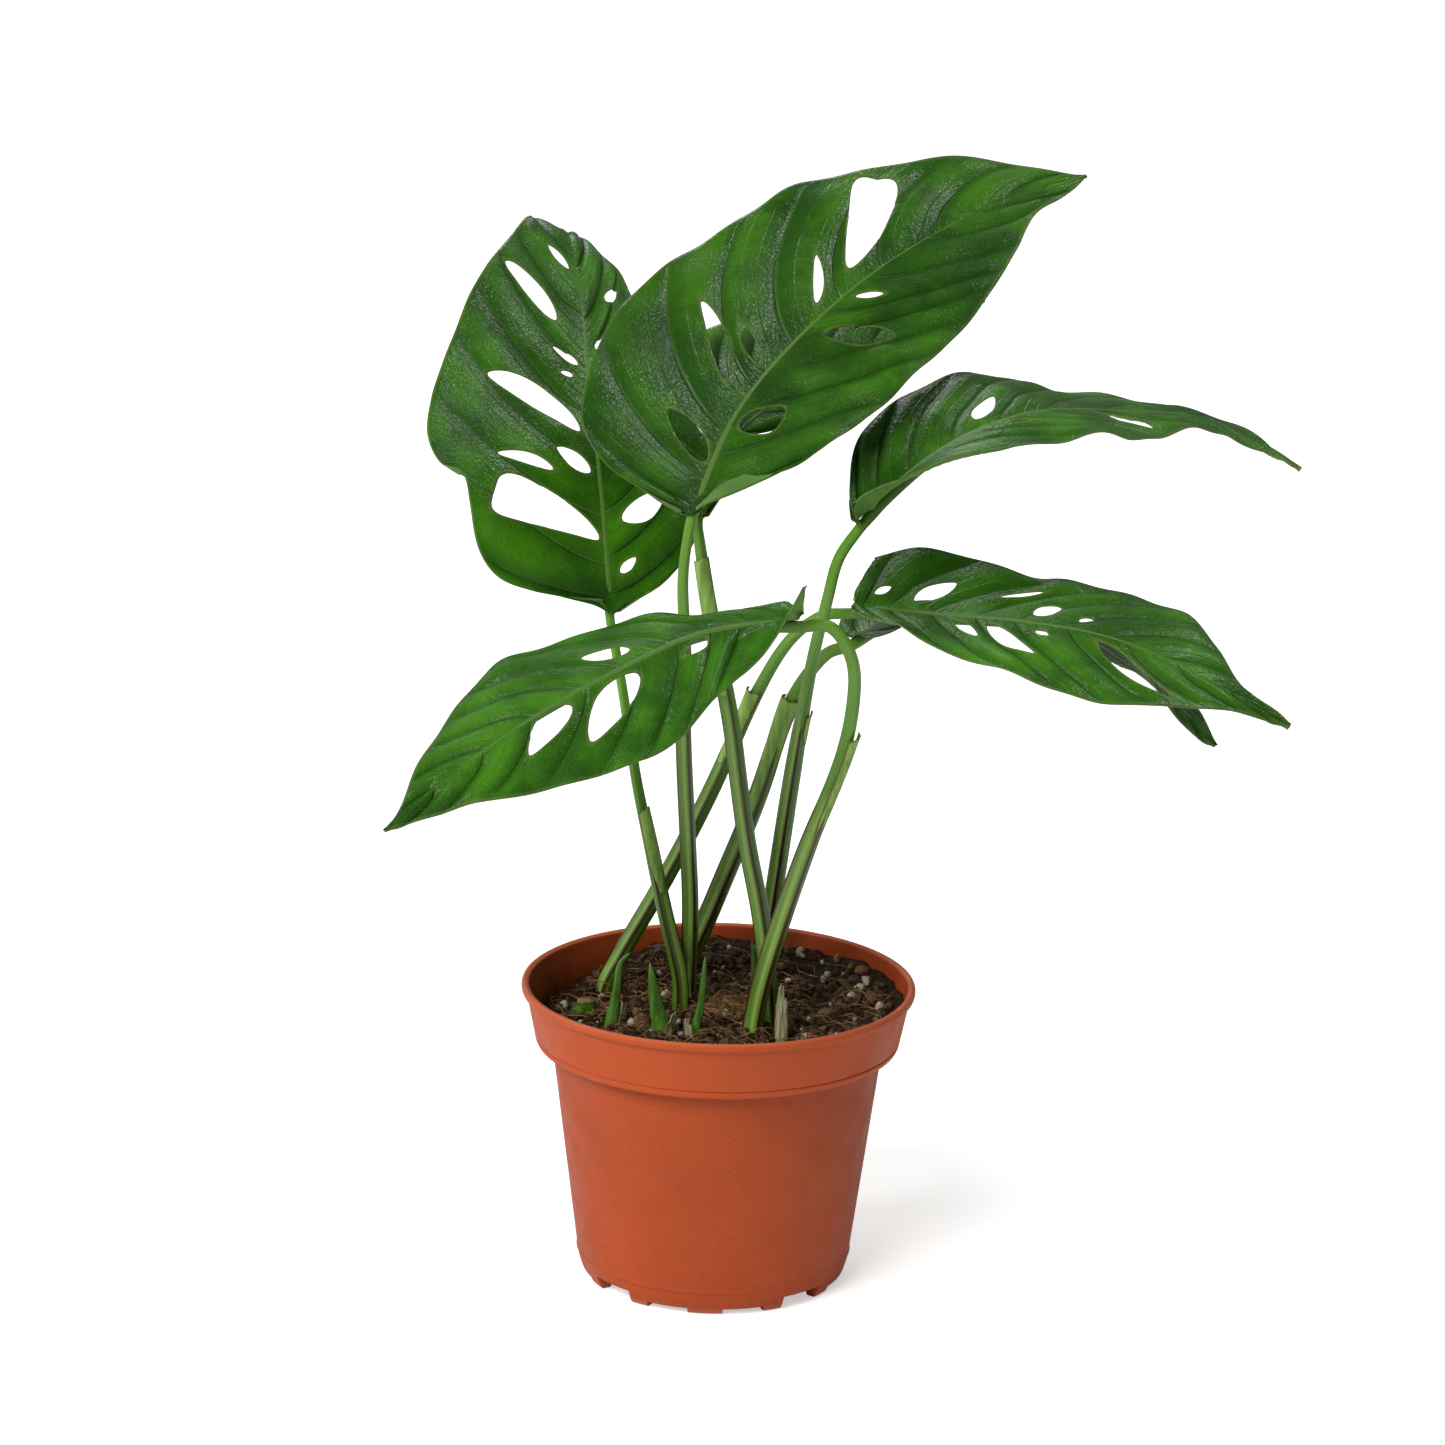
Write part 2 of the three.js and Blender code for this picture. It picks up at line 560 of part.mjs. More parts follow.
function potGeometry() {
  const outer = [
    [0, 0],
    [CENTRE_PAD_RADIUS, 0],
    [CENTRE_PAD_RADIUS + FOOT_SLOPE, UNDERSIDE_HEIGHT],
    [BASE_RADIUS - FOOT_RING_WIDTH, UNDERSIDE_HEIGHT],
    [BASE_RADIUS - FOOT_RING_WIDTH + FOOT_SLOPE, 0],
    [BASE_RADIUS, 0],
    [BASE_RADIUS + 0.45 * (BODY_FOOT_RADIUS - BASE_RADIUS), 0.3 * SKIRT_HEIGHT],
    [BASE_RADIUS + 0.8 * (BODY_FOOT_RADIUS - BASE_RADIUS), 0.64 * SKIRT_HEIGHT],
    [BODY_FOOT_RADIUS, SKIRT_HEIGHT],
    [BODY_TOP_RADIUS, BAND_FOOT - STEP_ROUND],
    [BODY_TOP_RADIUS + STEP_ROUND / 2, BAND_FOOT - STEP_ROUND / 3],
    [BAND_FOOT_RADIUS - STEP_ROUND, BAND_FOOT],
    [BAND_FOOT_RADIUS - STEP_ROUND / 3, BAND_FOOT + STEP_ROUND / 3],
    [BAND_FOOT_RADIUS, BAND_FOOT + STEP_ROUND],
    [BAND_TOP_RADIUS, POT_HEIGHT - LIP_HEIGHT],
  ];
  const lip = [
    [RIM_RADIUS - LIP_EDGE, POT_HEIGHT - 0.8 * LIP_HEIGHT],
    [RIM_RADIUS, POT_HEIGHT - 0.45 * LIP_HEIGHT],
    [RIM_RADIUS - LIP_EDGE, POT_HEIGHT - 0.1 * LIP_HEIGHT],
    [RIM_RADIUS - 1, POT_HEIGHT],
    [BAND_TOP_RADIUS - POT_WALL + 0.5, POT_HEIGHT - 0.15 * LIP_HEIGHT],
  ];
  const profile = [...outer, ...lip, ...innerWall().reverse(), [0, FLOOR_TOP]];
  const lathe = new THREE.LatheGeometry(profile.map((p) => new THREE.Vector2(...p)), POT_SIDES);
  lathe.rotateX(Math.PI / 2);
  let pot = solidFromGeometry(lathe);
  const ring = BASE_RADIUS - FOOT_RING_WIDTH / 2;
  const through = FOOT_RING_WIDTH + 2 * NOTCH_OVERRUN;
  for (let k = 0; k < DEEP_NOTCH_COUNT; k += 1) {
    const middle = deg(DEEP_NOTCH_START_DEG) + (2 * Math.PI * k) / DEEP_NOTCH_COUNT;
    const spread = deg(SHALLOW_NOTCH_SPREAD_DEG);
    const halfway = middle + Math.PI / DEEP_NOTCH_COUNT;
    pot = pot.subtract(notch(DEEP_NOTCH_WIDTH, DEEP_NOTCH_HEIGHT, middle, ring, through));
    for (const angle of [halfway - spread, halfway + spread]) {
      pot = pot.subtract(notch(SHALLOW_NOTCH_WIDTH, SHALLOW_NOTCH_HEIGHT, angle, ring, through));
    }
    pot = pot.subtract(notch(DRAIN_WIDTH, 2 * FLOOR_TOP, middle, DRAIN_RADIUS, DRAIN_LENGTH));
  }
  return geometryFromSolid(pot);
}

// ---- soil: fills the pot up to its surface, with a hole for each stalk and shoot ----
const SOIL_RADIUS = radiusAt(innerWall(), SOIL_TOP) - GAP;

/** How far the soil is banked up against the wall, from none to all, on the side that BANK_SIDE faces. */
function bankShare(x, y) {
  const towards = (x * BANK_SIDE[0] + y * BANK_SIDE[1]) / SOIL_RADIUS;
  return THREE.MathUtils.smoothstep(towards, 0, BANK_SPREAD);
}

function soilSolid() {
  const wall = innerWall().filter(([, z]) => z < SOIL_TOP - GAP);
  const points = [[0, FLOOR_TOP + GAP]];
  wall.forEach(([radius, z], k) => points.push([radius - GAP, k === 0 ? z + GAP : z]));
  points.push([SOIL_RADIUS, SOIL_TOP], [SOIL_RADIUS * 0.66, SOIL_TOP + SOIL_DOME * 0.6]);
  points.push([SOIL_RADIUS * 0.33, SOIL_TOP + SOIL_DOME], [0, SOIL_TOP + SOIL_DOME]);
  const lathe = new THREE.LatheGeometry(points.map((p) => new THREE.Vector2(...p)), POT_SIDES / 2);
  lathe.rotateX(Math.PI / 2);
  lathe.translate(0, 0, -SOIL_TOP);
  const place = lathe.attributes.position;
  for (let k = 0; k < place.count; k += 1) {
    const [x, y, z] = [place.getX(k), place.getY(k), place.getZ(k)];
    const ripple = Math.sin(x / 9) * Math.cos(y / 7 + 1);
    if (z > GAP) place.setZ(k, z + SOIL_RIPPLE * ripple);
    else if (z > -GAP) place.setZ(k, z + SOIL_BANK * bankShare(x, y));
  }
  return solidFromGeometry(lathe);
}

// ---- putting the plant together, in the soil surface's frame ----
function colouredMesh(name, geometry, color, roughness) {
  const material = new THREE.MeshStandardMaterial({ color, roughness, metalness: 0 });
  const mesh = new THREE.Mesh(geometry, material);
  mesh.name = name;
  return mesh;
}

const ROOT_ROOM = radiusAt(innerWall(), SOIL_TOP - STALK_ROOT_DEPTH) - GAP - STALK_FOOT;

function footPoint([x, y], depth) {
  return [x * ROOT_ROOM, y * ROOT_ROOM, -depth];
}

/** Points up to the blade's seat; a stalk beside another stands two half widths and a gap away. */
function stalkPoints({ foot, rise, beside }) {
  const points = [footPoint(foot, STALK_ROOT_DEPTH), footPoint(foot, 0), ...rise];
  if (!beside) return points;
  const reach = (2 * STALK_FOOT + GAP) / Math.hypot(...beside);
  return points.map(([x, y, z]) => [x + beside[0] * reach, y + beside[1] * reach, z]);
}

const potted = new THREE.Group();
const plant = new THREE.Group();
plant.position.z = SOIL_TOP;
potted.add(colouredMesh("pot", potGeometry(), 0xa8502c, 0.55));
potted.add(plant);

let soil = soilSolid();

for (const [name, design] of Object.entries(LEAVES)) {
  const shape = new BladeShape(design);
  plant.add(colouredMesh(`leaf_${name}`, bladeGeometry(shape), 0x1f5a1e, 0.38));

  const stalk = STALKS[name];
  const seat = shape.bend(-1, 0, -BLADE_THICKNESS / 2 - GAP - STALK_END);
  const points = [...stalkPoints(stalk), seat.toArray()];
  const widths = [
    [0, STALK_FOOT],
    [stalk.sheath - 0.12, STALK_SHEATH],
    [stalk.sheath + 0.06, STALK_NECK],
    [1, STALK_END],
  ];
  const solid = sweepSolid(points, widths, STALK_FLATNESS, STALK_STEP);
  soil = soil.subtract(sweepSolid(points, widths, STALK_FLATNESS, STALK_STEP, GAP));
  plant.add(colouredMesh(`stalk_${name}`, geometryFromSolid(solid), 0x4c6b2c, 0.5));
}

for (const [name, shoot] of Object.entries(SHOOTS)) {
  const [footX, footY] = footPoint(shoot.foot, 0);
  const points = [
    footPoint(shoot.foot, SHOOT_ROOT_DEPTH),
    footPoint(shoot.foot, 0),
    ...shoot.rise.map(([x, y, z]) => [footX + x, footY + y, z]),
  ];
  const widths = shoot.widths.map((w, k) => [k / 2, w]);
  const step = STALK_STEP / 2;
  const solid = sweepSolid(points, widths, shoot.flatness, step);
  soil = soil.subtract(sweepSolid(points, widths, shoot.flatness, step, GAP));
  const color = name === "dry_sheath" ? 0x9a9468 : 0x4a6a2a;
  plant.add(colouredMesh(name, geometryFromSolid(solid), color, 0.6));
}

plant.add(colouredMesh("potting_soil", geometryFromSolid(soil), 0x33241a, 0.95));

export default potted;
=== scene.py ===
"""A young potted monstera: pot, soil, holed leaf blades, grooved leaf stalks and young shoots.

Lengths in the tables are in millimetres, with the pot's base centre as the origin, +Z up and -Y the front.
"""

import bpy
import numpy as np
from bpy.props import FloatProperty, FloatVectorProperty, IntProperty, PointerProperty
from mathutils import Matrix, Vector


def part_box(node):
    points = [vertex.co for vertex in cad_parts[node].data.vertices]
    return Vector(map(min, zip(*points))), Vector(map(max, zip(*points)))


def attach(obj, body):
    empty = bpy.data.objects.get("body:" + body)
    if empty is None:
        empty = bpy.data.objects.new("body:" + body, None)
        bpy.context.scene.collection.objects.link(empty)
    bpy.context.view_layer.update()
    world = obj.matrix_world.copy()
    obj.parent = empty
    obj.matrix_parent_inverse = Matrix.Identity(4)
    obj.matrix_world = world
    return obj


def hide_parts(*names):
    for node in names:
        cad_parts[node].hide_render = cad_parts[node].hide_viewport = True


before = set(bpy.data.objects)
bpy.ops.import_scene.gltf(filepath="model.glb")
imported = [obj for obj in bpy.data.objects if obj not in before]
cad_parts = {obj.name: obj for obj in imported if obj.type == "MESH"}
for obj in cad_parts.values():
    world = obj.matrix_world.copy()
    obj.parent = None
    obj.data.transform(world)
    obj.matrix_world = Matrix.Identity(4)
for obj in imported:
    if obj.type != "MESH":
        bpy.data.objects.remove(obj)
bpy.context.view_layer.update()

bl_info = {
    "name": "Potted monstera",
    "version": (1, 0, 0),
    "blender": (4, 5, 0),
    "location": "3D View > Sidebar > Monstera",
    "description": "Builds a young monstera with holed leaves in a round plastic pot",
    "category": "Add Mesh",
}

MM = 0.001

# ---- sizes shared by the pot and the plant, in millimetres ----
POT_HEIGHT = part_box("pot")[1].z / MM
RIM_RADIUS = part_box("pot")[1].x / MM
BAND_HEIGHT = 19
BAND_TOP_INSET = 1.6
BAND_FOOT_INSET = 4.5
BAND_STEP = 5.2
BODY_TAPER = 8.4
SKIRT_INSET = 2.4
LIP_HEIGHT = 3.2
POT_WALL = 1.3
SKIRT_HEIGHT = 7.5
UNDERSIDE_HEIGHT = 4.4
FLOOR_THICKNESS = 1.6
CENTRE_PAD_RADIUS = 14
FOOT_RING_WIDTH = 4.5
FOOT_SLOPE = 1.5
DEEP_NOTCHES = dict(count=4, start=42, width=13, height=3.9)
SHALLOW_NOTCHES = dict(spread=17, width=12, height=1.5)
SOIL_BELOW_RIM = 12.5
SOIL_CLEARANCE = 0.3
SOIL_BANK = 8
BANK_SIDE = (0.71, 0.71)
BANK_SPREAD = 0.5
ROOT_DEPTH = 16
STALK_FOOT = 3.1
STALK_SHEATH = 2.8
STALK_NECK = 2.2
STALK_END = 1.8
MIDRIB_RADIUS = 1.75
BLADE_HALF = 0.4

BAND_FOOT = POT_HEIGHT - BAND_HEIGHT
FLOOR_TOP = UNDERSIDE_HEIGHT + FLOOR_THICKNESS
SOIL_TOP = POT_HEIGHT - SOIL_BELOW_RIM
BAND_FOOT_RADIUS = RIM_RADIUS - BAND_FOOT_INSET
BAND_TOP_RADIUS = RIM_RADIUS - BAND_TOP_INSET
BODY_TOP_RADIUS = BAND_FOOT_RADIUS - BAND_STEP
BODY_FOOT_RADIUS = BODY_TOP_RADIUS - BODY_TAPER
BASE_RADIUS = BODY_FOOT_RADIUS - SKIRT_INSET
BAND_SLOPE = (BAND_TOP_RADIUS - BAND_FOOT_RADIUS) / BAND_HEIGHT

# ---- the fine surface, in millimetres where it is a length ----
LATTICE = 64
LATTICE_SHIFT = 200
PATH_POINTS = 400
EDGE_POINTS = 800
TIP_HALF_WIDTH = 0.3
ROW_SPREAD = 1.9
COLUMN_SPREAD = 1.3
LOBE_SWEEP = 3
EDGE_SWEEP = 1.3
BLADE_ROWS = 230
BLADE_COLUMNS = 56
VEIN_SWEEP = 0.055
FLATTEST_CURL = 1e-6
WIDE_HOLE = 11
CUT_MARGIN = 0.03
BURIED = 5
STALK_STEP = 1.2
STALK_CORNERS = 30
MIDRIB_FROM = 9
MIDRIB_SINK = 0.62
STALK_OVALITY = 0.9
TIP_ROWS = 34
TIP_COLUMNS = 15
SHOOT_ROWS = 44
SHOOT_CORNERS = 20
PAPER_ROWS = 24
PAPER_COLUMNS = 25
SOIL_SECTORS = 280
SOIL_RINGS = 120
SOIL_SIDE_HEIGHTS = (9, 40, 73.2, 76)
BANK_FROM = 0.55
FIBRE_RINGS = 9
CORNER_POINTS = 5
POT_STEPS = 2880
POT_STEP_KEPT = 12
SOIL_SEED = 7
BITS_MARGIN = 2.5
FIBRE_MARGIN = 4
FIBRE_LIFT = 0.2
PAPER_THICKNESS = 0.3 * MM
TIP_THICKNESS = 0.4 * MM
LARGE_PERLITE = [[25, 44, 0], [43.5, 14, 0], [45.5, 19, 0], [41, 9, 0], [34, 30, 0], [-39, 14, 0]]
SET_BARK = [[38, 17], [33, 2], [44, 24]]

# ---- the stage: places in metres, angles in degrees, the floor in millimetres ----
FLOOR_REACH = 4000.0
FLOOR_DROP = 0.2
FLOOR_GLOW = 0.5
WORLD_STRENGTH = 0.18
SUN_STRENGTH = 2.3
SUN_SPREAD = 34
SUN_TURN = (39, -34, 0)
CAMERA_PLACE = (-0.00046, -1.42488, 0.56111)
CAMERA_DOWN = 15.2
CAMERA_ROLL = 1.2
CAMERA_LENS = 122.7
CAMERA_SENSOR = 36
CAMERA_FAR = 30
# name, place, what it points at, width and power
LIGHTS = [
    ("key", (-1.5, -0.35, 1.0), (0, 0, 0.2), 0.5, 9),
    ("top", (0.95, 0.4, 1.85), (0, 0, 0.25), 0.4, 8),
    ("back", (-0.35, 1.7, 1.15), (0, 0, 0.2), 0.5, 2.5),
]

# ---- leaf designs, measured from the centre of the soil's surface ----
# midrib: points along the blade's centre line. pose: share of the length, roll, then how far the left and
# the right half rise, each at the midrib and at the distance called span, in degrees.
# left, right: the flattened blade's edge as [along the midrib, out from it].
# holes: [inner along, inner out, outer along, outer out, width, bow]; out is negative on the left.
LEAVES = {
    "upper_left": dict(
        midrib=[[-35, 28, 120], [-39, 49, 152], [-44, 74, 180], [-48, 104, 204], [-54, 138, 218],
            [-62, 168, 211]],
        span=46,
        pose=[[0, 10, 8, 0, 8, -10], [0.5, 16, 6, -6, 0, -20], [1, 16, 6, -10, 0, -20]],
        left=[[4, 3], [4, 14], [5, 25], [9, 36], [18, 42], [32, 44], [41, 46], [44, 53], [54, 56],
            [66, 53], [78, 48], [90, 43], [104, 38], [117, 32], [128, 26], [142, 19], [158, 12], [174, 6]],
        right=[[1, 3], [5, 9], [10, 17], [18, 25], [29, 31], [43, 34], [60, 35], [78, 33], [96, 29],
            [112, 24], [126, 18], [140, 13], [156, 8], [172, 4]],
        holes=[[24, -2, 36, -36, 12, 2], [46, -3, 53, -14, 6, 0], [45, -16, 49, -34, 4, 1],
            [60, -5, 76, -34, 9, 2], [85, -3, 89, -12, 4, 0], [80, -5, 80, -10, 2, 0],
            [100, -10, 122, -25, 7, 1], [126, -3, 136, -9, 4, 0], [115, 9, 123, 13, 3.5, 0],
            [92, 3, 101, 9, 2.5, 0], [30, 6, 42, 21, 7.5, 1], [13, 4, 18, 9, 3, 0]],
    ),
    "top_front": dict(
        midrib=[[-11, -15, 161], [1, 12, 185], [20, 39, 204], [45, 62, 222], [75, 83, 236],
            [109, 98, 246]],
        span=45,
        pose=[[0, 20, 14, 2, 6, -4], [0.5, 20, 14, 0, 4, -8], [1, 20, 10, 0, 4, -8]],
        left=[[0, 3], [0, 13], [3, 26], [9, 35], [18, 41], [34, 45], [56, 49], [78, 47], [100, 45],
            [120, 43], [134, 38], [147, 32], [160, 25], [170, 19], [178, 12], [186, 5]],
        right=[[6, 3], [12, 4], [18, 8], [20, 15], [26, 22], [36, 28], [50, 33], [66, 36], [88, 38],
            [106, 38], [124, 35], [140, 29], [154, 22], [166, 14], [176, 9], [186, 4]],
        holes=[[19, -2, 30, -18, 8, 1], [48, -8, 68, -30, 6.5, 2], [60, -4, 69, -17, 4.5, 0],
            [90, -4, 104, -17, 3.2, 1], [107, -6, 139, -30, 11.5, 2], [34, 4, 48, 12, 9.5, 1],
            [82, 6, 94, 23, 8.5, 1], [100, 3, 106, 10, 3, 0]],
    ),
    "lower_left": dict(
        midrib=[[21, -35, 135], [-6, -44, 133], [-30, -54, 124], [-53, -65, 113], [-75, -75, 99],
            [-96, -84, 83]],
        span=38,
        pose=[[0, -23, 80, 95, -14, -30], [0.12, -23, 0, -14, -16, -50], [0.28, -23, -6, -24, -8, -40],
            [0.5, -23, -8, -27, -8, -30], [1, -23, -8, -24, -8, -24]],
        left=[[0, 3], [-7, 5], [-12, 10], [-9, 15], [-3, 14], [4, 11], [11, 12], [22, 18], [36, 23],
            [50, 28], [62, 30], [72, 29], [84, 26], [96, 22], [108, 17], [118, 11], [128, 6]],
        right=[[0, 3], [-5, 7], [-5, 12], [3, 16], [14, 17], [26, 18], [38, 22], [50, 28], [62, 34],
            [74, 38], [84, 37], [94, 32], [104, 25], [114, 16], [124, 9], [132, 4]],
        holes=[[50, 6, 62, 14, 6.5, 0], [75, -3, 94, -10, 8, 1], [53, -4, 77, -17, 10, 1],
            [29, -3, 39, -6, 4.5, 0], [12, -3, 19, -5, 2, 0]],
    ),
    "upper_right": dict(
        midrib=[[38, 4, 156], [62, 15, 175], [89, 30, 184], [118, 47, 182], [148, 59, 177],
            [176, 62, 162]],
        span=36,
        pose=[[0, 10, 6, 4, 40, 60], [0.25, 8, 6, 4, 12, 18], [0.5, 6, 4, -4, 4, -4],
            [0.65, 4, 0, -13, 0, -2], [1, 4, -2, -18, 0, -10]],
        left=[[0, 3], [3, 8], [8, 15], [15, 22], [25, 28], [38, 32], [52, 34], [65, 34], [78, 33],
            [92, 30], [106, 26], [120, 22], [134, 17], [146, 11], [156, 5]],
        right=[[0, 3], [-5, 7], [-7, 14], [-4, 20], [4, 25], [16, 28], [30, 30], [46, 31], [62, 31],
            [78, 30], [94, 27], [108, 23], [124, 18], [138, 12], [150, 7], [158, 4]],
        holes=[[50, -5, 62, -14, 6, 0], [56, 5, 66, 10, 4, 0], [86, 4, 101, 18, 5, 1],
            [28, 4, 34, 6, 1.6, 0]],
    ),
    "lower_right": dict(
        midrib=[[38, 12, 128], [61, 3, 128], [87, -12, 130], [113, -26, 129], [139, -38, 121],
            [164, -42, 107]],
        span=38,
        pose=[[0, 12, 14, 16, 22, 32], [0.12, 13, 10, 10, 14, 22], [0.24, 13, 6, 4, 6, 8],
            [0.34, 13, 2, -6, 2, -2], [0.48, 13, 0, -8, -2, -10], [0.66, 13, 0, -10, -6, -20],
            [0.8, 13, 0, -8, -8, -24], [1, 13, 0, -8, -6, -16]],
        left=[[0, 3], [-6, 8], [-7, 16], [-1, 24], [9, 29], [23, 31], [38, 30], [54, 30], [70, 32],
            [88, 31], [102, 25], [114, 18], [124, 11], [134, 5]],
        right=[[1, 3], [3, 8], [8, 13], [18, 18], [30, 22], [46, 26], [62, 29], [78, 30], [92, 28],
            [104, 23], [114, 16], [122, 10], [131, 5]],
        holes=[[18, -5, 26, -17, 7, 0], [5, -6, 9, -10, 3.5, 0], [41, -13, 53, -20, 2.7, 0],
            [57, -5, 62, -13, 7, 0], [71, -6, 75, -9, 2.6, 0], [35, 4, 47, 13, 4, 0],
            [46, 4, 68, 18, 5, 1], [62, 4, 67, 7, 3, 0], [82, 4, 110, 15, 5.5, 1]],
    ),
    "under_right": dict(
        midrib=[[38, 28, 114], [60, 37, 122], [85, 38, 120], [110, 34, 113], [132, 29, 102],
            [150, 22, 84]],
        span=30,
        pose=[[0, -4, 6, 4, 14, 8], [0.2, -13, 4, 0, 4, 0], [0.6, -14, 2, -6, 2, -6],
            [0.82, -10, 0, -8, 0, -8], [1, 16, 0, -8, 0, -8]],
        left=[[0, 3], [0, 9], [5, 16], [13, 22], [24, 26], [40, 28], [56, 28], [72, 26], [88, 23],
            [102, 17], [114, 10], [122, 5]],
        right=[[0, 3], [-4, 10], [-2, 18], [6, 24], [20, 28], [38, 29], [56, 28], [72, 26], [88, 22],
            [102, 16], [114, 10], [122, 5]],
        holes=[[30, -4, 40, -16, 6, 1], [54, -4, 64, -15, 5, 1], [36, 4, 48, 16, 6, 1],
            [62, 4, 72, 14, 4, 1]],
    ),
    "top_rear": dict(
        midrib=[[-9, -1, 158], [0, 27, 174], [15, 55, 182], [34, 81, 189], [56, 105, 195], [80, 126, 201]],
        span=32,
        pose=[[0, 16, 14, 4, 6, 0], [0.5, 16, 10, 0, 4, -8], [1, 16, 8, 0, 4, -8]],
        left=[[0, 3], [-3, 10], [0, 19], [8, 28], [22, 36], [40, 41], [60, 41], [80, 37], [98, 31],
            [114, 25], [130, 17], [144, 10], [156, 4]],
        right=[[2, 3], [10, 5], [20, 9], [32, 14], [46, 19], [62, 22], [80, 22], [98, 20], [114, 16],
            [130, 12], [144, 8], [156, 4]],
        holes=[[30, -5, 44, -22, 6, 1], [70, -5, 84, -20, 5, 1], [40, 4, 54, 16, 5, 1]],
    ),
}
# ---- leaf stalks: foot as shares of the room for roots, points above the soil, sheath's end as a share;
# beside: the way from the line where it meets its neighbour to its own middle ----
STALKS = {
    "upper_left": dict(foot=[-0.15, 0.19], sheath=0.5, beside=[-5, -4],
        rise=[[-7, 10, 12], [-12, 13, 32], [-16, 16, 49], [-21, 20, 70], [-26, 26, 98]]),
    "top_front": dict(foot=[-0.21, 0.33], sheath=0.74,
        rise=[[-9, 8, 32], [-10, 3, 54], [-12, -4, 91], [-12, -9, 118], [-13, -13, 141]]),
    "top_rear": dict(foot=[0.37, -0.22], sheath=0.84,
        rise=[[13, -9, 33], [8, -8, 58], [5, -7, 77], [2, -6, 97], [-5, -3, 130]]),
    "lower_right": dict(foot=[-0.8, 0.57], sheath=0.72,
        rise=[[-30, 27, 12], [-17, 28, 36], [-4, 25, 64], [8, 20, 94], [18, 16, 114], [28, 13, 124]]),
    "under_right": dict(foot=[-0.26, 0.84], sheath=0.74,
        rise=[[-1, 35, 29], [11, 32, 62], [20, 30, 92], [30, 28, 108]]),
    "upper_right": dict(foot=[0.31, 0.94], sheath=0.6,
        rise=[[16, 36, 23], [21, 22, 69], [26, 6, 111], [30, 1, 132], [33, 0, 145]]),
    "lower_left": dict(foot=[0.23, -0.35], sheath=0.55,
        rise=[[14, -17, 22], [24, -21, 57], [35, -25, 91], [38, -29, 113], [36, -32, 125], [30, -34, 133]]),
}
# ---- shoots: foot as above, half widths from the soil to the tip, points measured from the foot ----
SHOOTS = {
    "shoot_left": dict(foot=[-0.73, -0.19], widths=[1.9, 1.5, 0.8], flatness=1,
        rise=[[1.5, 1.5, 11], [2.5, 2.5, 19], [5.5, 2.5, 23]]),
    "shoot_pointed": dict(foot=[-0.38, -0.33], widths=[2.6, 2.4, 0.7], flatness=1,
        rise=[[-2, 1.5, 10], [-4, 2.5, 22]]),
    "shoot_thin": dict(foot=[-0.16, -0.38], widths=[1.4, 1.2, 0.7], flatness=1,
        rise=[[2, 2, 11], [3, 3, 25]]),
    "shoot_rear": dict(foot=[0.25, 0.74], widths=[1.5, 1.4, 0.7], flatness=1,
        rise=[[0, 0, 8], [-1, 0, 15]]),
    "old_stub": dict(foot=[-0.95, 0.05], widths=[3.2, 3.1, 2.9], flatness=0.85,
        rise=[[2, 0, 3], [2, 0, 5]]),
}
# how each leaf stalk is turned: the way its groove faces, in degrees from the front towards the right
GROOVE_TURN = {
    "upper_left": 35, "top_front": -20, "top_rear": -38, "lower_right": -60, "under_right": -40,
    "upper_right": -50, "lower_left": -25,
}
# how much of the room along the stalk's line it fills
STALK_FULLNESS = {
    "upper_left": 0.78, "top_front": 0.82, "top_rear": 0.88, "lower_right": 0.9, "under_right": 1.0,
    "upper_right": 0.92, "lower_left": 1.0,
}
# the sheath's free tip: share of the stalk where it ends, length, half width, lean away from the stalk, and
# the way it faces in degrees from the front towards the right
SHEATH_TIPS = {
    "top_front": (0.755, 14, 2.4, 1.2, -10), "top_rear": (0.935, 42, 4.0, 1.0, -20),
    "lower_right": (0.735, 26, 3.4, 3.6, -52), "under_right": (0.8, 46, 4.8, 3.4, -38),
    "upper_right": (0.62, 12, 2.0, 1.0, 60), "lower_left": (0.7, 44, 2.8, 3.4, 58),
    "upper_left": (0.54, 26, 2.6, 1.0, 20),
}

# how much lighter or darker than the leaf colours each blade is; top_rear's far lighter tone is painted
# light, for the pale sheen and glow it shows through the front blade's holes
LEAF_TONE = {
    "upper_left": 1.25, "top_front": 1.05, "lower_left": 1.35, "upper_right": 1.4, "lower_right": 1.35,
    "under_right": 1.1, "top_rear": 2.2,
}
# foot, way it faces in degrees from the front towards the right, and (radius, height, half width in radians)
PAPERY = {
    "papery_sheath_front": ((0.43, -0.39), 0, (2.6, 20, 0.9)),
    "papery_sheath_left": ((0.3, -0.28), -60, (4.2, 11, 0.8)),
    "papery_sheath_shoot": ((-0.38, -0.33), 70, (3.4, 9, 1.2)),
    "papery_sheath_thin": ((-0.16, -0.38), -50, (2.4, 8, 1.1)),
    "papery_sheath_rear": ((0.25, 0.74), 150, (2.8, 9, 1.3)),
    "papery_sheath_far_left": ((-0.73, -0.19), 100, (2.9, 10, 1.2)),
}
# name, share of the fibres, middle, spread, length and thickness
COIR = [
    ("coir_loose", 0.75, (0, 0), 1.0, 14, 0.2),
    ("coir_clump_middle", 0.35, (6, 6), 0.18, 10, 0.22),
    ("coir_clump_left", 0.2, (-36, 6), 0.16, 9, 0.17),
]


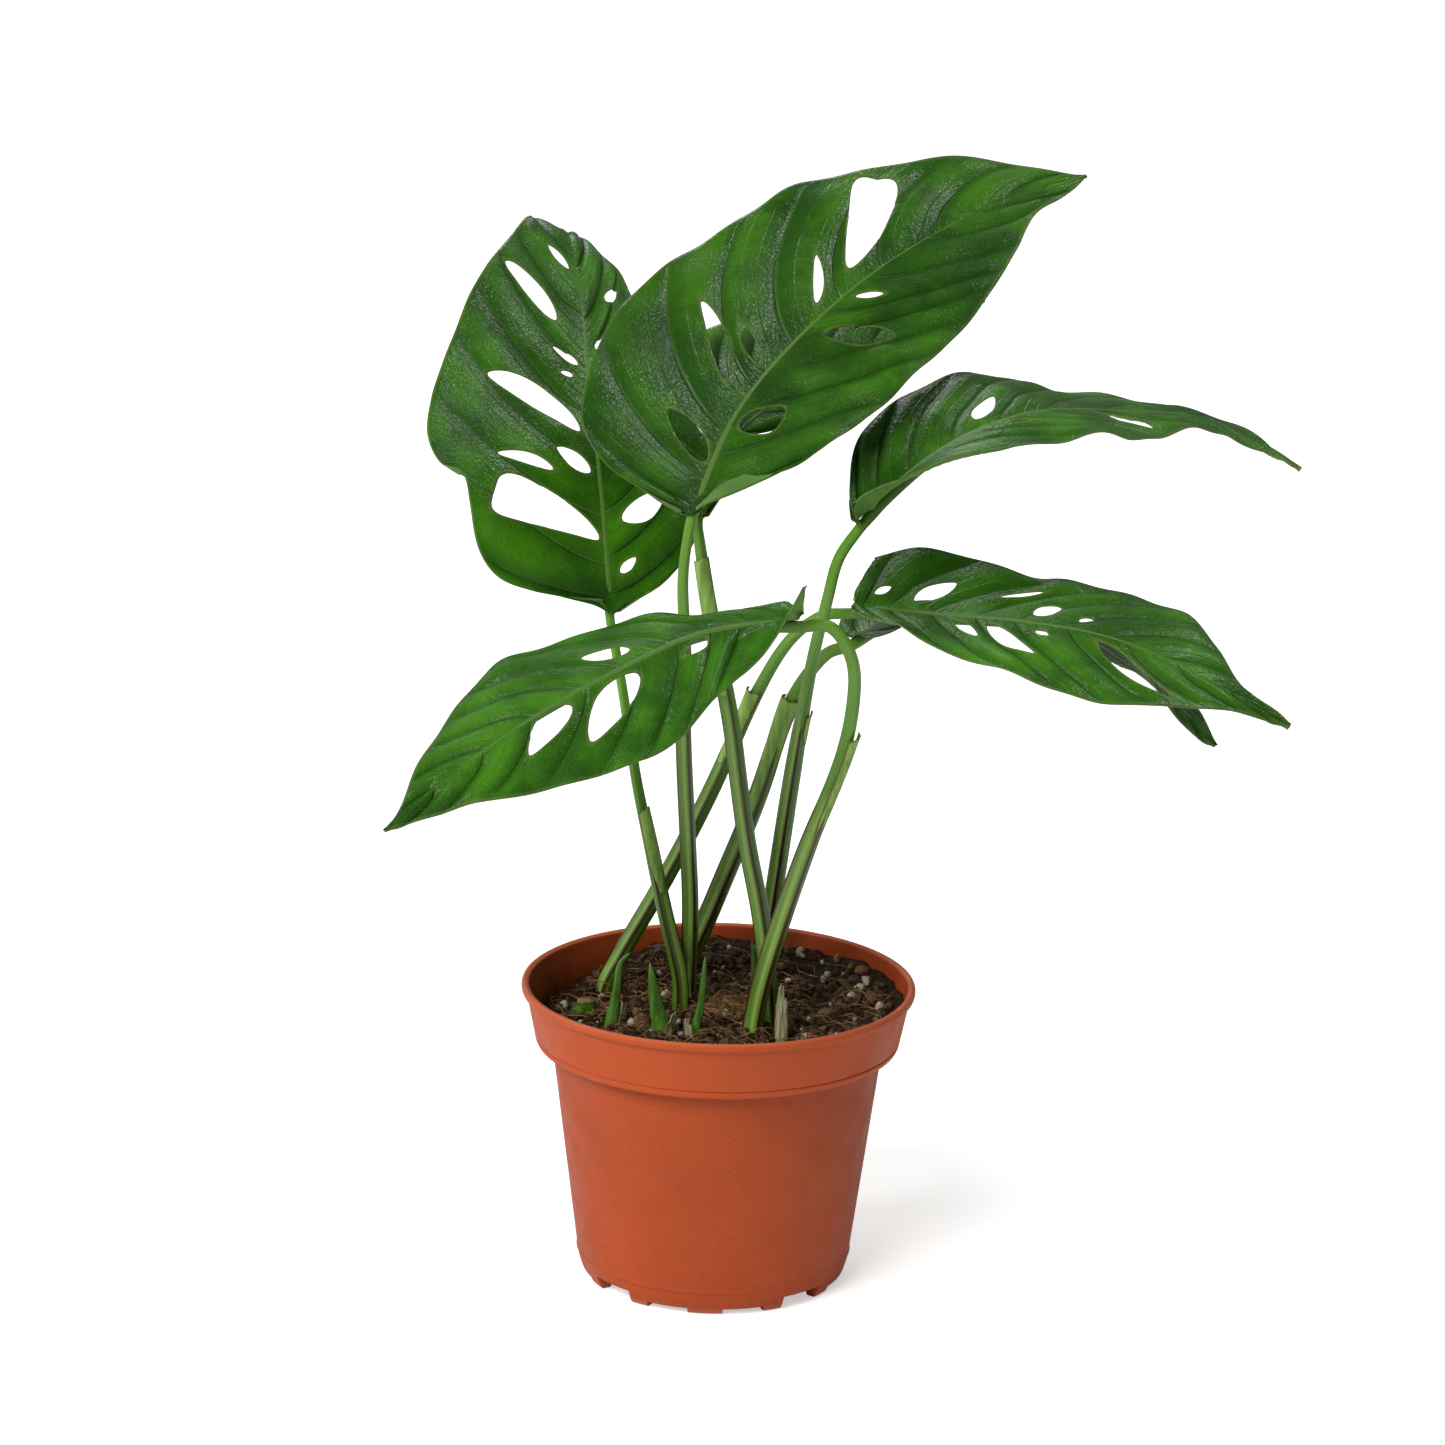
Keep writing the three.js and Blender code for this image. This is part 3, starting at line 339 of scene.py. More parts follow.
# ---- curves and fields, all as whole arrays ----
def smooth_path(points, count):
    """Points on a curve through the given ones: each stretch is the cubic whose end slopes are half the
    chord between its neighbours (Catmull-Rom), with one more point extrapolated at each end."""
    p = np.asarray(points, float)
    q = np.vstack([2 * p[0] - p[1], p, 2 * p[-1] - p[-2]])
    place = np.linspace(0, len(p) - 1, count)
    i = np.minimum(place.astype(int), len(p) - 2)
    w = (place - i)[:, None]
    before, start, end, after = q[i], q[i + 1], q[i + 2], q[i + 3]
    leave, arrive = (end - before) / 2, (after - start) / 2
    cubic = 2 * start - 2 * end + leave + arrive
    square = -3 * start + 3 * end - 2 * leave - arrive
    return cubic * w**3 + square * w**2 + leave * w + start


def arc_lengths(path):
    """Distance along a path at each of its points."""
    steps = np.linalg.norm(np.diff(path, axis=0), axis=1)
    return np.concatenate([[0], np.cumsum(steps)])


def along_path(path, distances):
    """Points at the given distances along a path, by straight lines between its points."""
    arc = arc_lengths(path)
    return np.stack([np.interp(distances, arc, path[:, k]) for k in range(path.shape[1])], -1)


def profile(stations, share):
    """Smooth values through rows [position, value...]: cubic pieces whose slope at a station is the
    chord between its neighbours."""
    table = np.asarray(stations, float)
    x, y = table[:, 0], table[:, 1:]
    share = np.clip(share, x[0], x[-1])
    low, high = np.r_[0, np.arange(len(x) - 1)], np.r_[np.arange(1, len(x)), len(x) - 1]
    slope = (y[high] - y[low]) / (x[high] - x[low])[:, None]
    i = np.clip(np.searchsorted(x, share, side="right") - 1, 0, len(x) - 2)
    width = (x[i + 1] - x[i])[..., None]
    w = ((share - x[i]) / (x[i + 1] - x[i]))[..., None]
    ends = y[i] * (2 * w**3 - 3 * w**2 + 1) + y[i + 1] * (3 * w**2 - 2 * w**3)
    return ends + width * (slope[i] * (w**3 - 2 * w**2 + w) + slope[i + 1] * (w**3 - w**2))


def smooth_step(low, high, value):
    """0 below low, 1 above high and 3 w^2 - 2 w^3 between them."""
    share = np.clip((value - low) / (high - low), 0, 1)
    return share * share * (3 - 2 * share)


def unit(vectors):
    return vectors / np.linalg.norm(vectors, axis=-1, keepdims=True)


def lumpiness(x, y, cell, seed):
    """Smooth random height from -1 to 1: random numbers on a square lattice of the given cell,
    blended between lattice points with a smooth step."""
    lattice = np.random.default_rng(seed).uniform(-1, 1, (LATTICE, LATTICE))
    x, y = x / cell + LATTICE_SHIFT, y / cell + LATTICE_SHIFT
    i, j = np.floor(x).astype(int), np.floor(y).astype(int)
    u, v = smooth_step(0, 1, x - i), smooth_step(0, 1, y - j)

    def corner(a, b):
        return lattice[(i + a) % LATTICE, (j + b) % LATTICE]

    near = corner(0, 0) * (1 - u) + corner(1, 0) * u
    far = corner(0, 1) * (1 - u) + corner(1, 1) * u
    return near * (1 - v) + far * v


# ---- meshes ----
def grid_faces(rows, columns, wrap=False):
    """Four-cornered faces of a grid of points numbered row by row; wrap joins the last column to the
    first."""
    r, c = np.meshgrid(np.arange(rows - 1), np.arange(columns - (0 if wrap else 1)), indexing="ij")
    right = (c + 1) % columns
    corners = [r * columns + c, r * columns + right, (r + 1) * columns + right, (r + 1) * columns + c]
    return np.stack(corners, -1).reshape(-1, 4)


def fan_faces(centre, ring, reverse):
    """Triangles from one point to a closed ring of points."""
    following = np.roll(ring, -1)
    hub = np.full(len(ring), centre)
    return np.stack([hub, following, ring] if reverse else [hub, ring, following], -1)


def closed_rings(rows, corners):
    """Faces of rings numbered row by row, closed by the two centre points numbered after them."""
    first, last = np.arange(corners), (rows - 1) * corners + np.arange(corners)
    ends = [fan_faces(rows * corners, first, True), fan_faces(rows * corners + 1, last, False)]
    return [grid_faces(rows, corners, wrap=True), *ends]


def outward(points, face_sets):
    """The faces turned round if the volume inside them comes out negative."""
    volume = 0
    for faces in face_sets:
        for k in range(1, faces.shape[1] - 1):
            a, b, c = points[faces[:, 0]], points[faces[:, k]], points[faces[:, k + 1]]
            volume += np.einsum("ij,ij->i", a, np.cross(b, c)).sum()
    return face_sets if volume > 0 else [faces[:, ::-1] for faces in face_sets]


def add_piece(name, points, face_sets, materials, uv=None, attributes=None, closed=True):
    """A mesh object at the origin from points in millimetres, with UV maps and attributes given per point."""
    points = np.asarray(points, float)
    if closed:
        face_sets = outward(points, face_sets)
    mesh = bpy.data.meshes.new(name)
    corners = np.concatenate([faces.ravel() for faces in face_sets])
    sizes = np.concatenate([np.full(len(faces), faces.shape[1]) for faces in face_sets])
    mesh.vertices.add(len(points))
    mesh.vertices.foreach_set("co", (points * MM).ravel())
    mesh.loops.add(len(corners))
    mesh.loops.foreach_set("vertex_index", corners)
    mesh.polygons.add(len(sizes))
    mesh.polygons.foreach_set("loop_start", np.concatenate([[0], np.cumsum(sizes)[:-1]]))
    mesh.polygons.foreach_set("use_smooth", np.ones(len(sizes), bool))
    mesh.update(calc_edges=True)
    for label, values in (uv or {}).items():
        mesh.uv_layers.new(name=label).uv.foreach_set("vector", values[corners].ravel())
    for label, values in (attributes or {}).items():
        mesh.attributes.new(label, "FLOAT", "POINT").data.foreach_set("value", values)
    for material in materials:
        mesh.materials.append(material)
    piece = bpy.data.objects.new(name, mesh)
    bpy.context.scene.collection.objects.link(piece)
    return piece


def settle(piece, slot, *nodes):
    """Puts a finished piece on the plant's one body and hides the CAD nodes that it stands for. slot is not
    used.
    """
    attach(piece, "root")
    if nodes:
        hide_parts(*nodes)


def thicken(piece, thickness, offset=-1, under=0, rim=0):
    """Gives a sheet its thickness; under and rim say how many material slots on those faces are."""
    wall = piece.modifiers.new("thickness", "SOLIDIFY")
    wall.thickness = thickness
    wall.offset = offset
    wall.material_offset = under
    wall.material_offset_rim = rim


def sweep(path, across, outline):
    """Points and faces of an outline carried along a path: point = centre + across * x + depth * y, where
    depth = across x forward. outline is [ring, corner, (x, y)]. Both ends close on a centre point."""
    forward = unit(np.gradient(path, axis=0))
    across = unit(across - forward * np.sum(across * forward, -1, keepdims=True))
    depth = np.cross(across, forward)
    rings = path[:, None] + across[:, None] * outline[..., :1] + depth[:, None] * outline[..., 1:]
    points = np.vstack([rings.reshape(-1, 3), path[:1], path[-1:]])
    return points, closed_rings(*outline.shape[:2])


def side_of(path, degrees):
    """The direction across a path for an outline whose depth faces the given way, in degrees from the
    front towards the right."""
    facing = np.radians(degrees)
    return np.cross(unit(np.gradient(path, axis=0)), [np.sin(facing), -np.cos(facing), 0])


def scatter(shapes, faces, places, turns, sizes):
    """Many small shapes as one mesh. shapes: [copy, corner, xyz]; each is scaled, turned by a unit
    quaternion (x' = x + 2 q x (q x x + w x)) and moved to its place."""
    x = shapes * sizes[:, None]
    w, q = turns[:, None, :1], turns[:, None, 1:]
    x = x + 2 * np.cross(q, np.cross(q, x) + w * x)
    points = (x + places[:, None]).reshape(-1, 3)
    shift = (np.arange(len(shapes)) * shapes.shape[1])[:, None, None]
    return points, (faces[None] + shift).reshape(-1, faces.shape[1])


# ---- leaf blades ----
class BladeShape:
    """One blade: a flat pattern bent along its midrib. Each half leaves the midrib at an inner angle and
    curls evenly to an outer angle at the distance span, so that it follows a circular arc:
    across = (sin(angle) - sin(inner)) / curl, rise = (cos(inner) - cos(angle)) / curl."""

    def __init__(self, design):
        self.design = design
        self.path = smooth_path(design["midrib"], PATH_POINTS) + [0, 0, SOIL_TOP]
        self.length = arc_lengths(self.path)[-1]

    def frame(self, along):
        """Centre, direction right, normal and side angles at distances along the midrib."""
        inside = np.clip(along, 0, self.length)
        reach = self.length / 100
        before = along_path(self.path, np.clip(along - reach, 0, self.length))
        after = along_path(self.path, np.clip(along + reach, 0, self.length))
        forward = unit(after - before)
        centre = along_path(self.path, inside) + forward * (along - inside)[..., None]
        level = unit(np.stack([forward[..., 1], -forward[..., 0], 0 * forward[..., 0]], -1))
        normal = np.cross(level, forward)
        angles = np.radians(profile(self.design["pose"], inside / self.length))
        turn = angles[..., :1]
        right = level * np.cos(turn) - normal * np.sin(turn)
        normal = normal * np.cos(turn) + level * np.sin(turn)
        return centre, right, normal, angles[..., 1:]

    def bend(self, along, out, height):
        """Flat pattern points, with a height above the pattern, carried onto the bent blade."""
        along, out, height = np.broadcast_arrays(along, out, np.asarray(height, float))
        centre, right, normal, angles = self.frame(along)
        side = np.where(out >= 0, 1.0, -1.0)
        inner = np.where(out >= 0, angles[..., 2], angles[..., 0])
        outer = np.where(out >= 0, angles[..., 3], angles[..., 1])
        curl = (outer - inner) / self.design["span"]
        curl = np.where(np.abs(curl) < FLATTEST_CURL, FLATTEST_CURL, curl)
        angle = inner + curl * np.abs(out)
        across = (np.sin(angle) - np.sin(inner)) / curl - height * np.sin(angle)
        rise = (np.cos(inner) - np.cos(angle)) / curl + height * np.cos(angle)
        return centre + right * (side * across)[..., None] + normal * rise[..., None]

    def half_pattern(self, side, share, reach):
        """Flat grid of one half: row lines run from the midrib at length * share^ROW_SPREAD out to the
        point at that share of the edge; reach 0 to 1 runs from the midrib to the edge."""
        edge = smooth_path([*self.design[side], [self.length, TIP_HALF_WIDTH]], EDGE_POINTS)
        rim = along_path(edge, share * arc_lengths(edge)[-1])
        station = self.length * share**ROW_SPREAD
        drift = (rim[:, 0] - station)[:, None]
        power = np.where(drift < 0, LOBE_SWEEP, EDGE_SWEEP)
        return station[:, None] + drift * reach**power, rim[:, 1:] * reach


def hole_depth(holes, along, out):
    """Millimetres outside the nearest hole, negative inside. A hole is a bowed drop along its axis: x runs
    from -1 to 1 along it, y is the distance from its centre line bow (1 - x^2), and its edge is where
    |x|^power + |y / half width|^power = 1. The half width is (width / 2)(1 - 0.18 x) with power 1.7; a wide
    hole opens outwards instead, (width / 2)(1 + 0.36 x), round at its inner end and blunt at its outer."""
    depth = np.full(along.shape, 1e3)
    for inner_along, inner_out, outer_along, outer_out, width, bow in holes:
        start, end = np.array([inner_along, inner_out]), np.array([outer_along, outer_out])
        middle, half = (start + end) / 2, np.linalg.norm(end - start) / 2
        way = (end - start) / (2 * half)
        dx, dy = along - middle[0], out - middle[1]
        x = (dx * way[0] + dy * way[1]) / half
        y = dy * way[0] - dx * way[1] - bow * (1 - np.minimum(x**2, 1.2))
        wide = width > WIDE_HOLE
        half_width = width / 2 * np.clip(1 + (0.36 if wide else -0.18) * x, 0.5, 1.5)
        power = np.where(x > 0, 4.5, 2.0) if wide else 1.7
        ratio = (np.abs(x) ** power + np.abs(y / half_width) ** power) ** (1 / power)
        depth = np.minimum(depth, (ratio - 1) * min(half, width / 2))
    return depth


def vein_phase(vein, holes, along, out, count):
    """Rises by one from each side vein to the next and is a whole number on a vein. The veins are spread
    evenly at first, then eased so that each hole's middle falls halfway between two of them."""
    first = count * vein**1.35
    place, target = [0.0], [0.0]
    wanted = {}
    for inner_along, inner_out, outer_along, outer_out, *_ in holes:
        away = np.hypot(along - (inner_along + outer_along) / 2, out - (inner_out + outer_out) / 2)
        nearest = np.argmin(away)
        wanted.setdefault(np.floor(first.flat[nearest]) + 0.5, []).append(vein.flat[nearest])
    for half_way in sorted(wanted):
        if np.mean(wanted[half_way]) > place[-1] + 0.01:
            place.append(np.mean(wanted[half_way]))
            target.append(half_way)
    share = np.append(place, 1.0)
    return np.interp(vein, share, np.append(target, max(count, target[-1] + 1)))


def keep_positive(values, faces, depth):
    """The part of a triangle mesh where depth is above zero. A triangle that the zero line crosses is cut
    where depth, taken as straight along each edge, is zero. Depths very near zero are moved off it first,
    so that no sliver is left."""
    depth = np.where(np.abs(depth) < CUT_MARGIN, np.where(depth < 0, -CUT_MARGIN, CUT_MARGIN), depth)
    inside = depth[faces] > 0
    count = inside.sum(1)

    def odd_first(chosen, odd):
        turn = (odd[:, None] + np.arange(3)) % 3
        return np.take_along_axis(faces[chosen], turn, 1)

    one = odd_first(count == 1, np.argmax(inside[count == 1], 1))
    two = odd_first(count == 2, np.argmin(inside[count == 2], 1))
    edges = np.vstack([one[:, [0, 1]], one[:, [0, 2]], two[:, [0, 1]], two[:, [0, 2]]])
    low, high = edges.min(1), edges.max(1)
    keys, which = np.unique(low * len(depth) + high, return_inverse=True)
    low, high = keys // len(depth), keys % len(depth)
    share = (depth[low] / (depth[low] - depth[high]))[:, None]
    values = np.vstack([values, values[low] * (1 - share) + values[high] * share])
    cut = np.split(len(depth) + which, [len(one), 2 * len(one), 2 * len(one) + len(two)])
    pieces = [
        faces[count == 3],
        np.stack([one[:, 0], cut[0], cut[1]], -1),
        np.stack([cut[2], two[:, 1], two[:, 2]], -1),
        np.stack([cut[2], two[:, 2], cut[3]], -1),
    ]
    faces = np.vstack(pieces)
    used, faces = np.unique(faces, return_inverse=True)
    return values[used], faces.reshape(-1, 3)


def blade_surface(shape, sizes, seed):
    """Points, triangles, UV maps and rim distances of a blade's upper face. Height above the bent pattern =
    uneven pillows between the side veins, |sin(pi phase)|^0.7, plus a wave along the blade that grows with
    the cube of the reach, plus soft lumps."""
    share = np.linspace(0, 1, BLADE_ROWS + 1)
    reach = np.linspace(0, 1, BLADE_COLUMNS + 1) ** COLUMN_SPREAD
    halves = []
    for side, sign in (("left", -1), ("right", 1)):
        along, out = shape.half_pattern(side, share, reach)
        holes = [h for h in shape.design["holes"] if h[1] * sign > 0]
        vein = np.clip(share[:, None] - VEIN_SWEEP * reach**2, 0, 1)
        phase = vein_phase(vein, holes, along, out * sign, int(sizes.vein_count))
        margin = out[:, -1:] * (1 - reach)
        columns = [along, out * sign, phase, sign * np.broadcast_to(reach, along.shape), margin]
        halves.append(np.stack(columns, -1))
    values = np.concatenate([halves[0][:, :0:-1], halves[1]], 1)
    quads = grid_faces(*values.shape[:2])
    faces = np.vstack([quads[:, [0, 1, 2]], quads[:, [0, 2, 3]]])
    values = values.reshape(-1, 5)
    holes = hole_depth(shape.design["holes"], values[:, 0], values[:, 1])
    values = np.column_stack([values, np.minimum(holes, 50)])
    values, faces = keep_positive(values, faces, values[:, 5])
    along, out, phase, reach, margin, hole = values.T
    distance = np.minimum(margin, hole)
    away = np.abs(reach)
    spread = smooth_step(0.03, 0.3, away) * smooth_step(0, 0.16, 1 - away)
    pillow = (np.abs(np.sin(np.pi * phase)) ** 0.7 - 0.6) * spread * sizes.pillow / MM
    pillow = pillow * (1 + 0.6 * lumpiness(along, out, 20, 60 + seed))
    side = np.where(out < 0, 1.3, 0)
    wave = np.sin(along / 6.5 + side + seed) + 0.6 * np.sin(along / 3.4 + 2 * side + 2 * seed)
    wave = wave * away**3 * sizes.edge_wave / MM
    soft = lumpiness(along, out, 14, 40 + seed) * 0.65 * smooth_step(0.05, 0.4, away)
    points = shape.bend(along, out, BLADE_HALF * 0.6 + pillow + wave + soft)
    maps = {
        "veins": np.stack([phase, away], -1),
        "place": np.stack([along, out], -1) / 100,
    }
    return points, faces, maps, {"rim": distance}


# ---- leaf stalks ----
def inner_wall():
    """The pot's inner wall from floor to rim, as [radius, height]."""
    round_off = 1.4
    return np.array([
        [BASE_RADIUS - POT_WALL + SKIRT_INSET / 2, FLOOR_TOP],
        [BODY_FOOT_RADIUS - POT_WALL, SKIRT_HEIGHT + POT_WALL],
        [BODY_TOP_RADIUS - POT_WALL, BAND_FOOT],
        [BODY_TOP_RADIUS - POT_WALL + round_off / 2, BAND_FOOT + round_off],
        [BAND_FOOT_RADIUS - POT_WALL - round_off / 2, BAND_FOOT + round_off],
        [BAND_FOOT_RADIUS - POT_WALL, BAND_FOOT + 2 * round_off],
        [BAND_TOP_RADIUS - POT_WALL, POT_HEIGHT - LIP_HEIGHT],
    ])


def wall_radius(height):
    """Radius of the pot's inner wall at a height."""
    wall = inner_wall()
    return np.interp(height, wall[:, 1], wall[:, 0])


SOIL_RADIUS = wall_radius(SOIL_TOP) - SOIL_CLEARANCE
ROOT_ROOM = wall_radius(SOIL_TOP - ROOT_DEPTH) - SOIL_CLEARANCE - STALK_FOOT


def foot_point(foot, depth):
    """A point under or on the soil, its place given as shares of the room for roots."""
    return np.array([foot[0] * ROOT_ROOM, foot[1] * ROOT_ROOM, -depth])


def stalk_path(name, shape):
    """The stalk's centre line from just under the soil to the blade, and on along the midrib to the tip.
    Returns the points and the distance at which the midrib starts."""
    design = STALKS[name]
    foot = design["foot"]
    points = np.array([foot_point(foot, ROOT_DEPTH), foot_point(foot, 0), *design["rise"]])
    if "beside" in design:
        away = np.array([*design["beside"], 0.0])
        points = points + unit(away) * (2 * STALK_FOOT + SOIL_CLEARANCE)
    seat = shape.bend(-1.0, 0.0, -BLADE_HALF - SOIL_CLEARANCE - STALK_END)
    path = smooth_path(np.vstack([points + [0, 0, SOIL_TOP], seat]), PATH_POINTS)
    path = path[path[:, 2] > SOIL_TOP - BURIED]
    along = np.linspace(MIDRIB_FROM, shape.length - 1, PATH_POINTS // 2)
    radius = midrib_radius(along / shape.length)
    midrib = shape.bend(along, 0 * along, -MIDRIB_SINK * radius)
    start = arc_lengths(path)[-1]
    whole = np.vstack([path, midrib])
    total = arc_lengths(whole)[-1]
    whole = along_path(whole, np.linspace(0, total, int(total / STALK_STEP)))
    for _ in range(3):
        whole[1:-1] = (whole[:-2] + 2 * whole[1:-1] + whole[2:]) / 4
    return whole, start


def midrib_radius(share):
    """Thinning from MIDRIB_RADIUS at the stalk to a thread at the tip."""
    return MIDRIB_RADIUS * (1 - share) ** 0.8 + 0.2


def stalk_surface(name, shape):
    """An oval carried along the stalk and midrib. Radius = half width (1 - groove exp(-(turn / 0.42)^2) +
    0.34 groove exp(-((|turn| - 0.85) / 0.26)^2) + 0.025 cos(9 turn)), where turn is the angle from the
    middle of the groove: a channel, its two raised edges and faint ribs."""
    path, start = stalk_path(name, shape)
    distance = arc_lengths(path)
    share = np.clip(distance / start, 0, 1)
    sheath = STALKS[name]["sheath"]
    stations = [[0, STALK_FOOT], [sheath - 0.12, STALK_SHEATH], [sheath + 0.06, STALK_NECK], [1, STALK_END]]
    along_blade = np.clip((distance - start) / (distance[-1] - start), 0, 1)
    on_blade = smooth_step(0, 8, distance - start)
    width = profile(stations, share)[:, 0] * STALK_FULLNESS[name] * (1 - on_blade)
    width = width + midrib_radius(along_blade) * on_blade
    sheathed = 1 - smooth_step(sheath - 0.03, sheath + 0.03, share)
    groove = (0.5 * sheathed + 0.12 * (1 - sheathed)) * (1 - on_blade)
    turn = np.linspace(-np.pi, np.pi, STALK_CORNERS, endpoint=False)
    channel = np.exp(-((turn / 0.42) ** 2))
    crest = np.exp(-(((np.abs(turn) - 0.85) / 0.26) ** 2))
    ribs = 0.025 * np.cos(9 * turn)
    radius = width[:, None] * (1 - groove[:, None] * channel + 0.34 * groove[:, None] * crest + ribs)
    outline = np.stack([radius * np.sin(turn), STALK_OVALITY * radius * np.cos(turn)], -1)
    points, faces = sweep(path, side_of(path, GROOVE_TURN[name]), outline)

    def whole(grid):
        return np.concatenate([np.broadcast_to(grid, radius.shape).ravel(), [0, 0]])

    attributes = {
        "channel": whole(channel * sheathed[:, None]),
        "crest": whole(crest * sheathed[:, None]),
        "height": whole((distance / start)[:, None]),
        "on_blade": whole(on_blade[:, None]),
    }
    maps = {"around": np.stack([whole(turn / (2 * np.pi)), whole(distance[:, None] / 100)], -1)}
    return points, faces, maps, attributes


def sheath_tip_surface(name, shape):
    """The sheath's free tip: an arc of a tube round the stalk, nearly as wide at its end, with a ragged cut.
    It stands off the stalk by lean (0.2 u + 0.3 u^6), u from its foot to its end."""
    end, length, half_width, lean, turn = SHEATH_TIPS[name]
    path, start = stalk_path(name, shape)
    u, across_share = np.linspace(0, 1, TIP_ROWS), np.linspace(-1, 1, TIP_COLUMNS)
    path = along_path(path, end * start - length * (1 - u))
    rows = u[:, None]
    radius = STALK_SHEATH * (0.86 + 0.04 * rows) + lean * (0.2 * rows + 0.3 * rows**6)
    angle = half_width * (0.35 + 0.65 * smooth_step(0, 0.4, rows)) * across_share / STALK_SHEATH
    narrowing = 1 - 0.25 * rows**3
    outline = np.stack([radius * np.sin(angle) * narrowing, STALK_OVALITY * radius * np.cos(angle)], -1)
    forward = unit(np.gradient(path, axis=0))
    across = unit(side_of(path, turn))
    depth = np.cross(across, forward)
    points = path[:, None] + across[:, None] * outline[..., :1] + depth[:, None] * outline[..., 1:]
    ragged = 0.5 * lumpiness(across_share * 6 + 0 * rows, 0 * angle, 1.6, len(name)) + 0.5 * across_share
    points = points + forward[:, None] * (ragged * rows**6)[..., None]
    edge = np.maximum(np.abs(across_share), 0.9 * rows**24)
    return points.reshape(-1, 3), [grid_faces(TIP_ROWS, TIP_COLUMNS)], {"edge": edge.ravel()}


def shoot_surface(name, pointed=True):
    """A round or flattened shoot: half width follows its stations, and a pointed one closes as
    sqrt(1 - u^5) at its end, u from its foot to its tip."""
    design = SHOOTS[name]
    foot = foot_point(design["foot"], 0)
    rise = np.array(design["rise"], float) + [foot[0], foot[1], 0]
    points = np.vstack([foot_point(design["foot"], BURIED), foot, rise]) + [0, 0, SOIL_TOP]
    path = smooth_path(points, PATH_POINTS)
    u = np.linspace(0, 1, SHOOT_ROWS)
    path = along_path(path, u * arc_lengths(path)[-1])
    stations = [[k / 2, w] for k, w in enumerate(design["widths"])]
    width = profile(stations, u)[:, 0]
    if pointed:
        width = width * np.sqrt(np.clip(1.0005 - u**5, 0, 1)) * (1 + 0.12 * np.sin(u * 9))
    turn = np.linspace(-np.pi, np.pi, SHOOT_CORNERS, endpoint=False)
    ribs, furrow = 0.05 * np.cos(4 * turn + 3 * u[:, None]), 0.12 * np.exp(-((turn / 0.3) ** 2))
    radius = width[:, None] * (1 + ribs - furrow)
    outline = np.stack([radius * np.sin(turn), design["flatness"] * radius * np.cos(turn)], -1)
    across = np.broadcast_to([1.0, 0.15, 0.0], path.shape)
    points, faces = sweep(path, across, outline)
    height = np.concatenate([np.repeat(u, SHOOT_CORNERS), [0, 1]])
    return points, faces, {"height": height}


def papery_sheath_surface(centre, turn, size, seed):
    """A dry torn sheath: an arc of a tube whose radius opens upwards as 1 + 0.25 u^2. Its height is
    u (0.82 + 0.22 lumpiness - 0.3 a^4), so that its top is ragged and falls away at both edges;
    u runs from foot to top, a from -1 to 1 round the arc."""
    radius, height, half_angle = size
    u, a = np.meshgrid(np.linspace(0, 1, PAPER_ROWS), np.linspace(-1, 1, PAPER_COLUMNS), indexing="ij")
    ragged = 0.82 + 0.22 * lumpiness(a * 9, 0 * a, 1.4, seed) - 0.3 * a**4
    angle = turn + a * half_angle * (1 - 0.35 * u)
    open_up = radius * (1 + 0.25 * u**2) + 0.3 * lumpiness(a * 5, u * 6, 1.5, seed + 1)
    points = np.stack([
        centre[0] + open_up * np.sin(angle),
        centre[1] - open_up * np.cos(angle),
        SOIL_TOP - 1 + height * u * ragged,
    ], -1)
    return points.reshape(-1, 3), [grid_faces(PAPER_ROWS, PAPER_COLUMNS)], {"edge": np.abs(a).ravel()}


# ---- soil ----
def bank_share(x, y):
    """How far the soil is banked up, from none to all, on the side that BANK_SIDE faces."""
    return smooth_step(0, BANK_SPREAD, (x * BANK_SIDE[0] + y * BANK_SIDE[1]) / SOIL_RADIUS)


def soil_height(x, y):
    """Surface height: a low dome, a bank against the wall at the back right, and three sizes of lumps."""
    share = np.hypot(x, y) / SOIL_RADIUS
    dome = 1.4 * (1 - share**2) + SOIL_BANK * bank_share(x, y) * smooth_step(BANK_FROM, 1, share)
    lumps = 1.3 * lumpiness(x, y, 10, 1) + 0.8 * lumpiness(x, y, 4.2, 2) + 0.45 * lumpiness(x, y, 1.9, 3)
    return SOIL_TOP + dome + lumps


def soil_surface():
    """Rings of points: out along the floor, up the pot's wall with a small clearance, and back over the
    lumpy top to the middle. Where the soil is banked up, the outer rings widen to follow the wall."""
    turn = np.linspace(0, 2 * np.pi, SOIL_SECTORS, endpoint=False)
    heights = np.array([FLOOR_TOP + SOIL_CLEARANCE, *SOIL_SIDE_HEIGHTS, SOIL_TOP - 2])
    radii = wall_radius(heights) - SOIL_CLEARANCE
    top = SOIL_RADIUS * np.linspace(1, 0, SOIL_RINGS, endpoint=False)
    radius = np.concatenate([radii, top])[:, None]
    x, y = radius * np.cos(turn), radius * np.sin(turn)
    z = np.broadcast_to(np.concatenate([heights, 0 * top])[:, None], x.shape).copy()
    z[len(heights):] = soil_height(x[len(heights):], y[len(heights):])
    room = wall_radius(np.maximum(z, SOIL_TOP)) - SOIL_CLEARANCE
    spread = 1 + (room / SOIL_RADIUS - 1) * smooth_step(BANK_FROM, 1, np.hypot(x, y) / SOIL_RADIUS)
    spread[: len(heights)] = 1
    points = np.stack([x * spread, y * spread, z], -1).reshape(-1, 3)
    middle = np.zeros(1)
    points = np.vstack([points, [0, 0, heights[0]], [0, 0, soil_height(middle, middle)[0]]])
    return points, closed_rings(len(radius), SOIL_SECTORS)


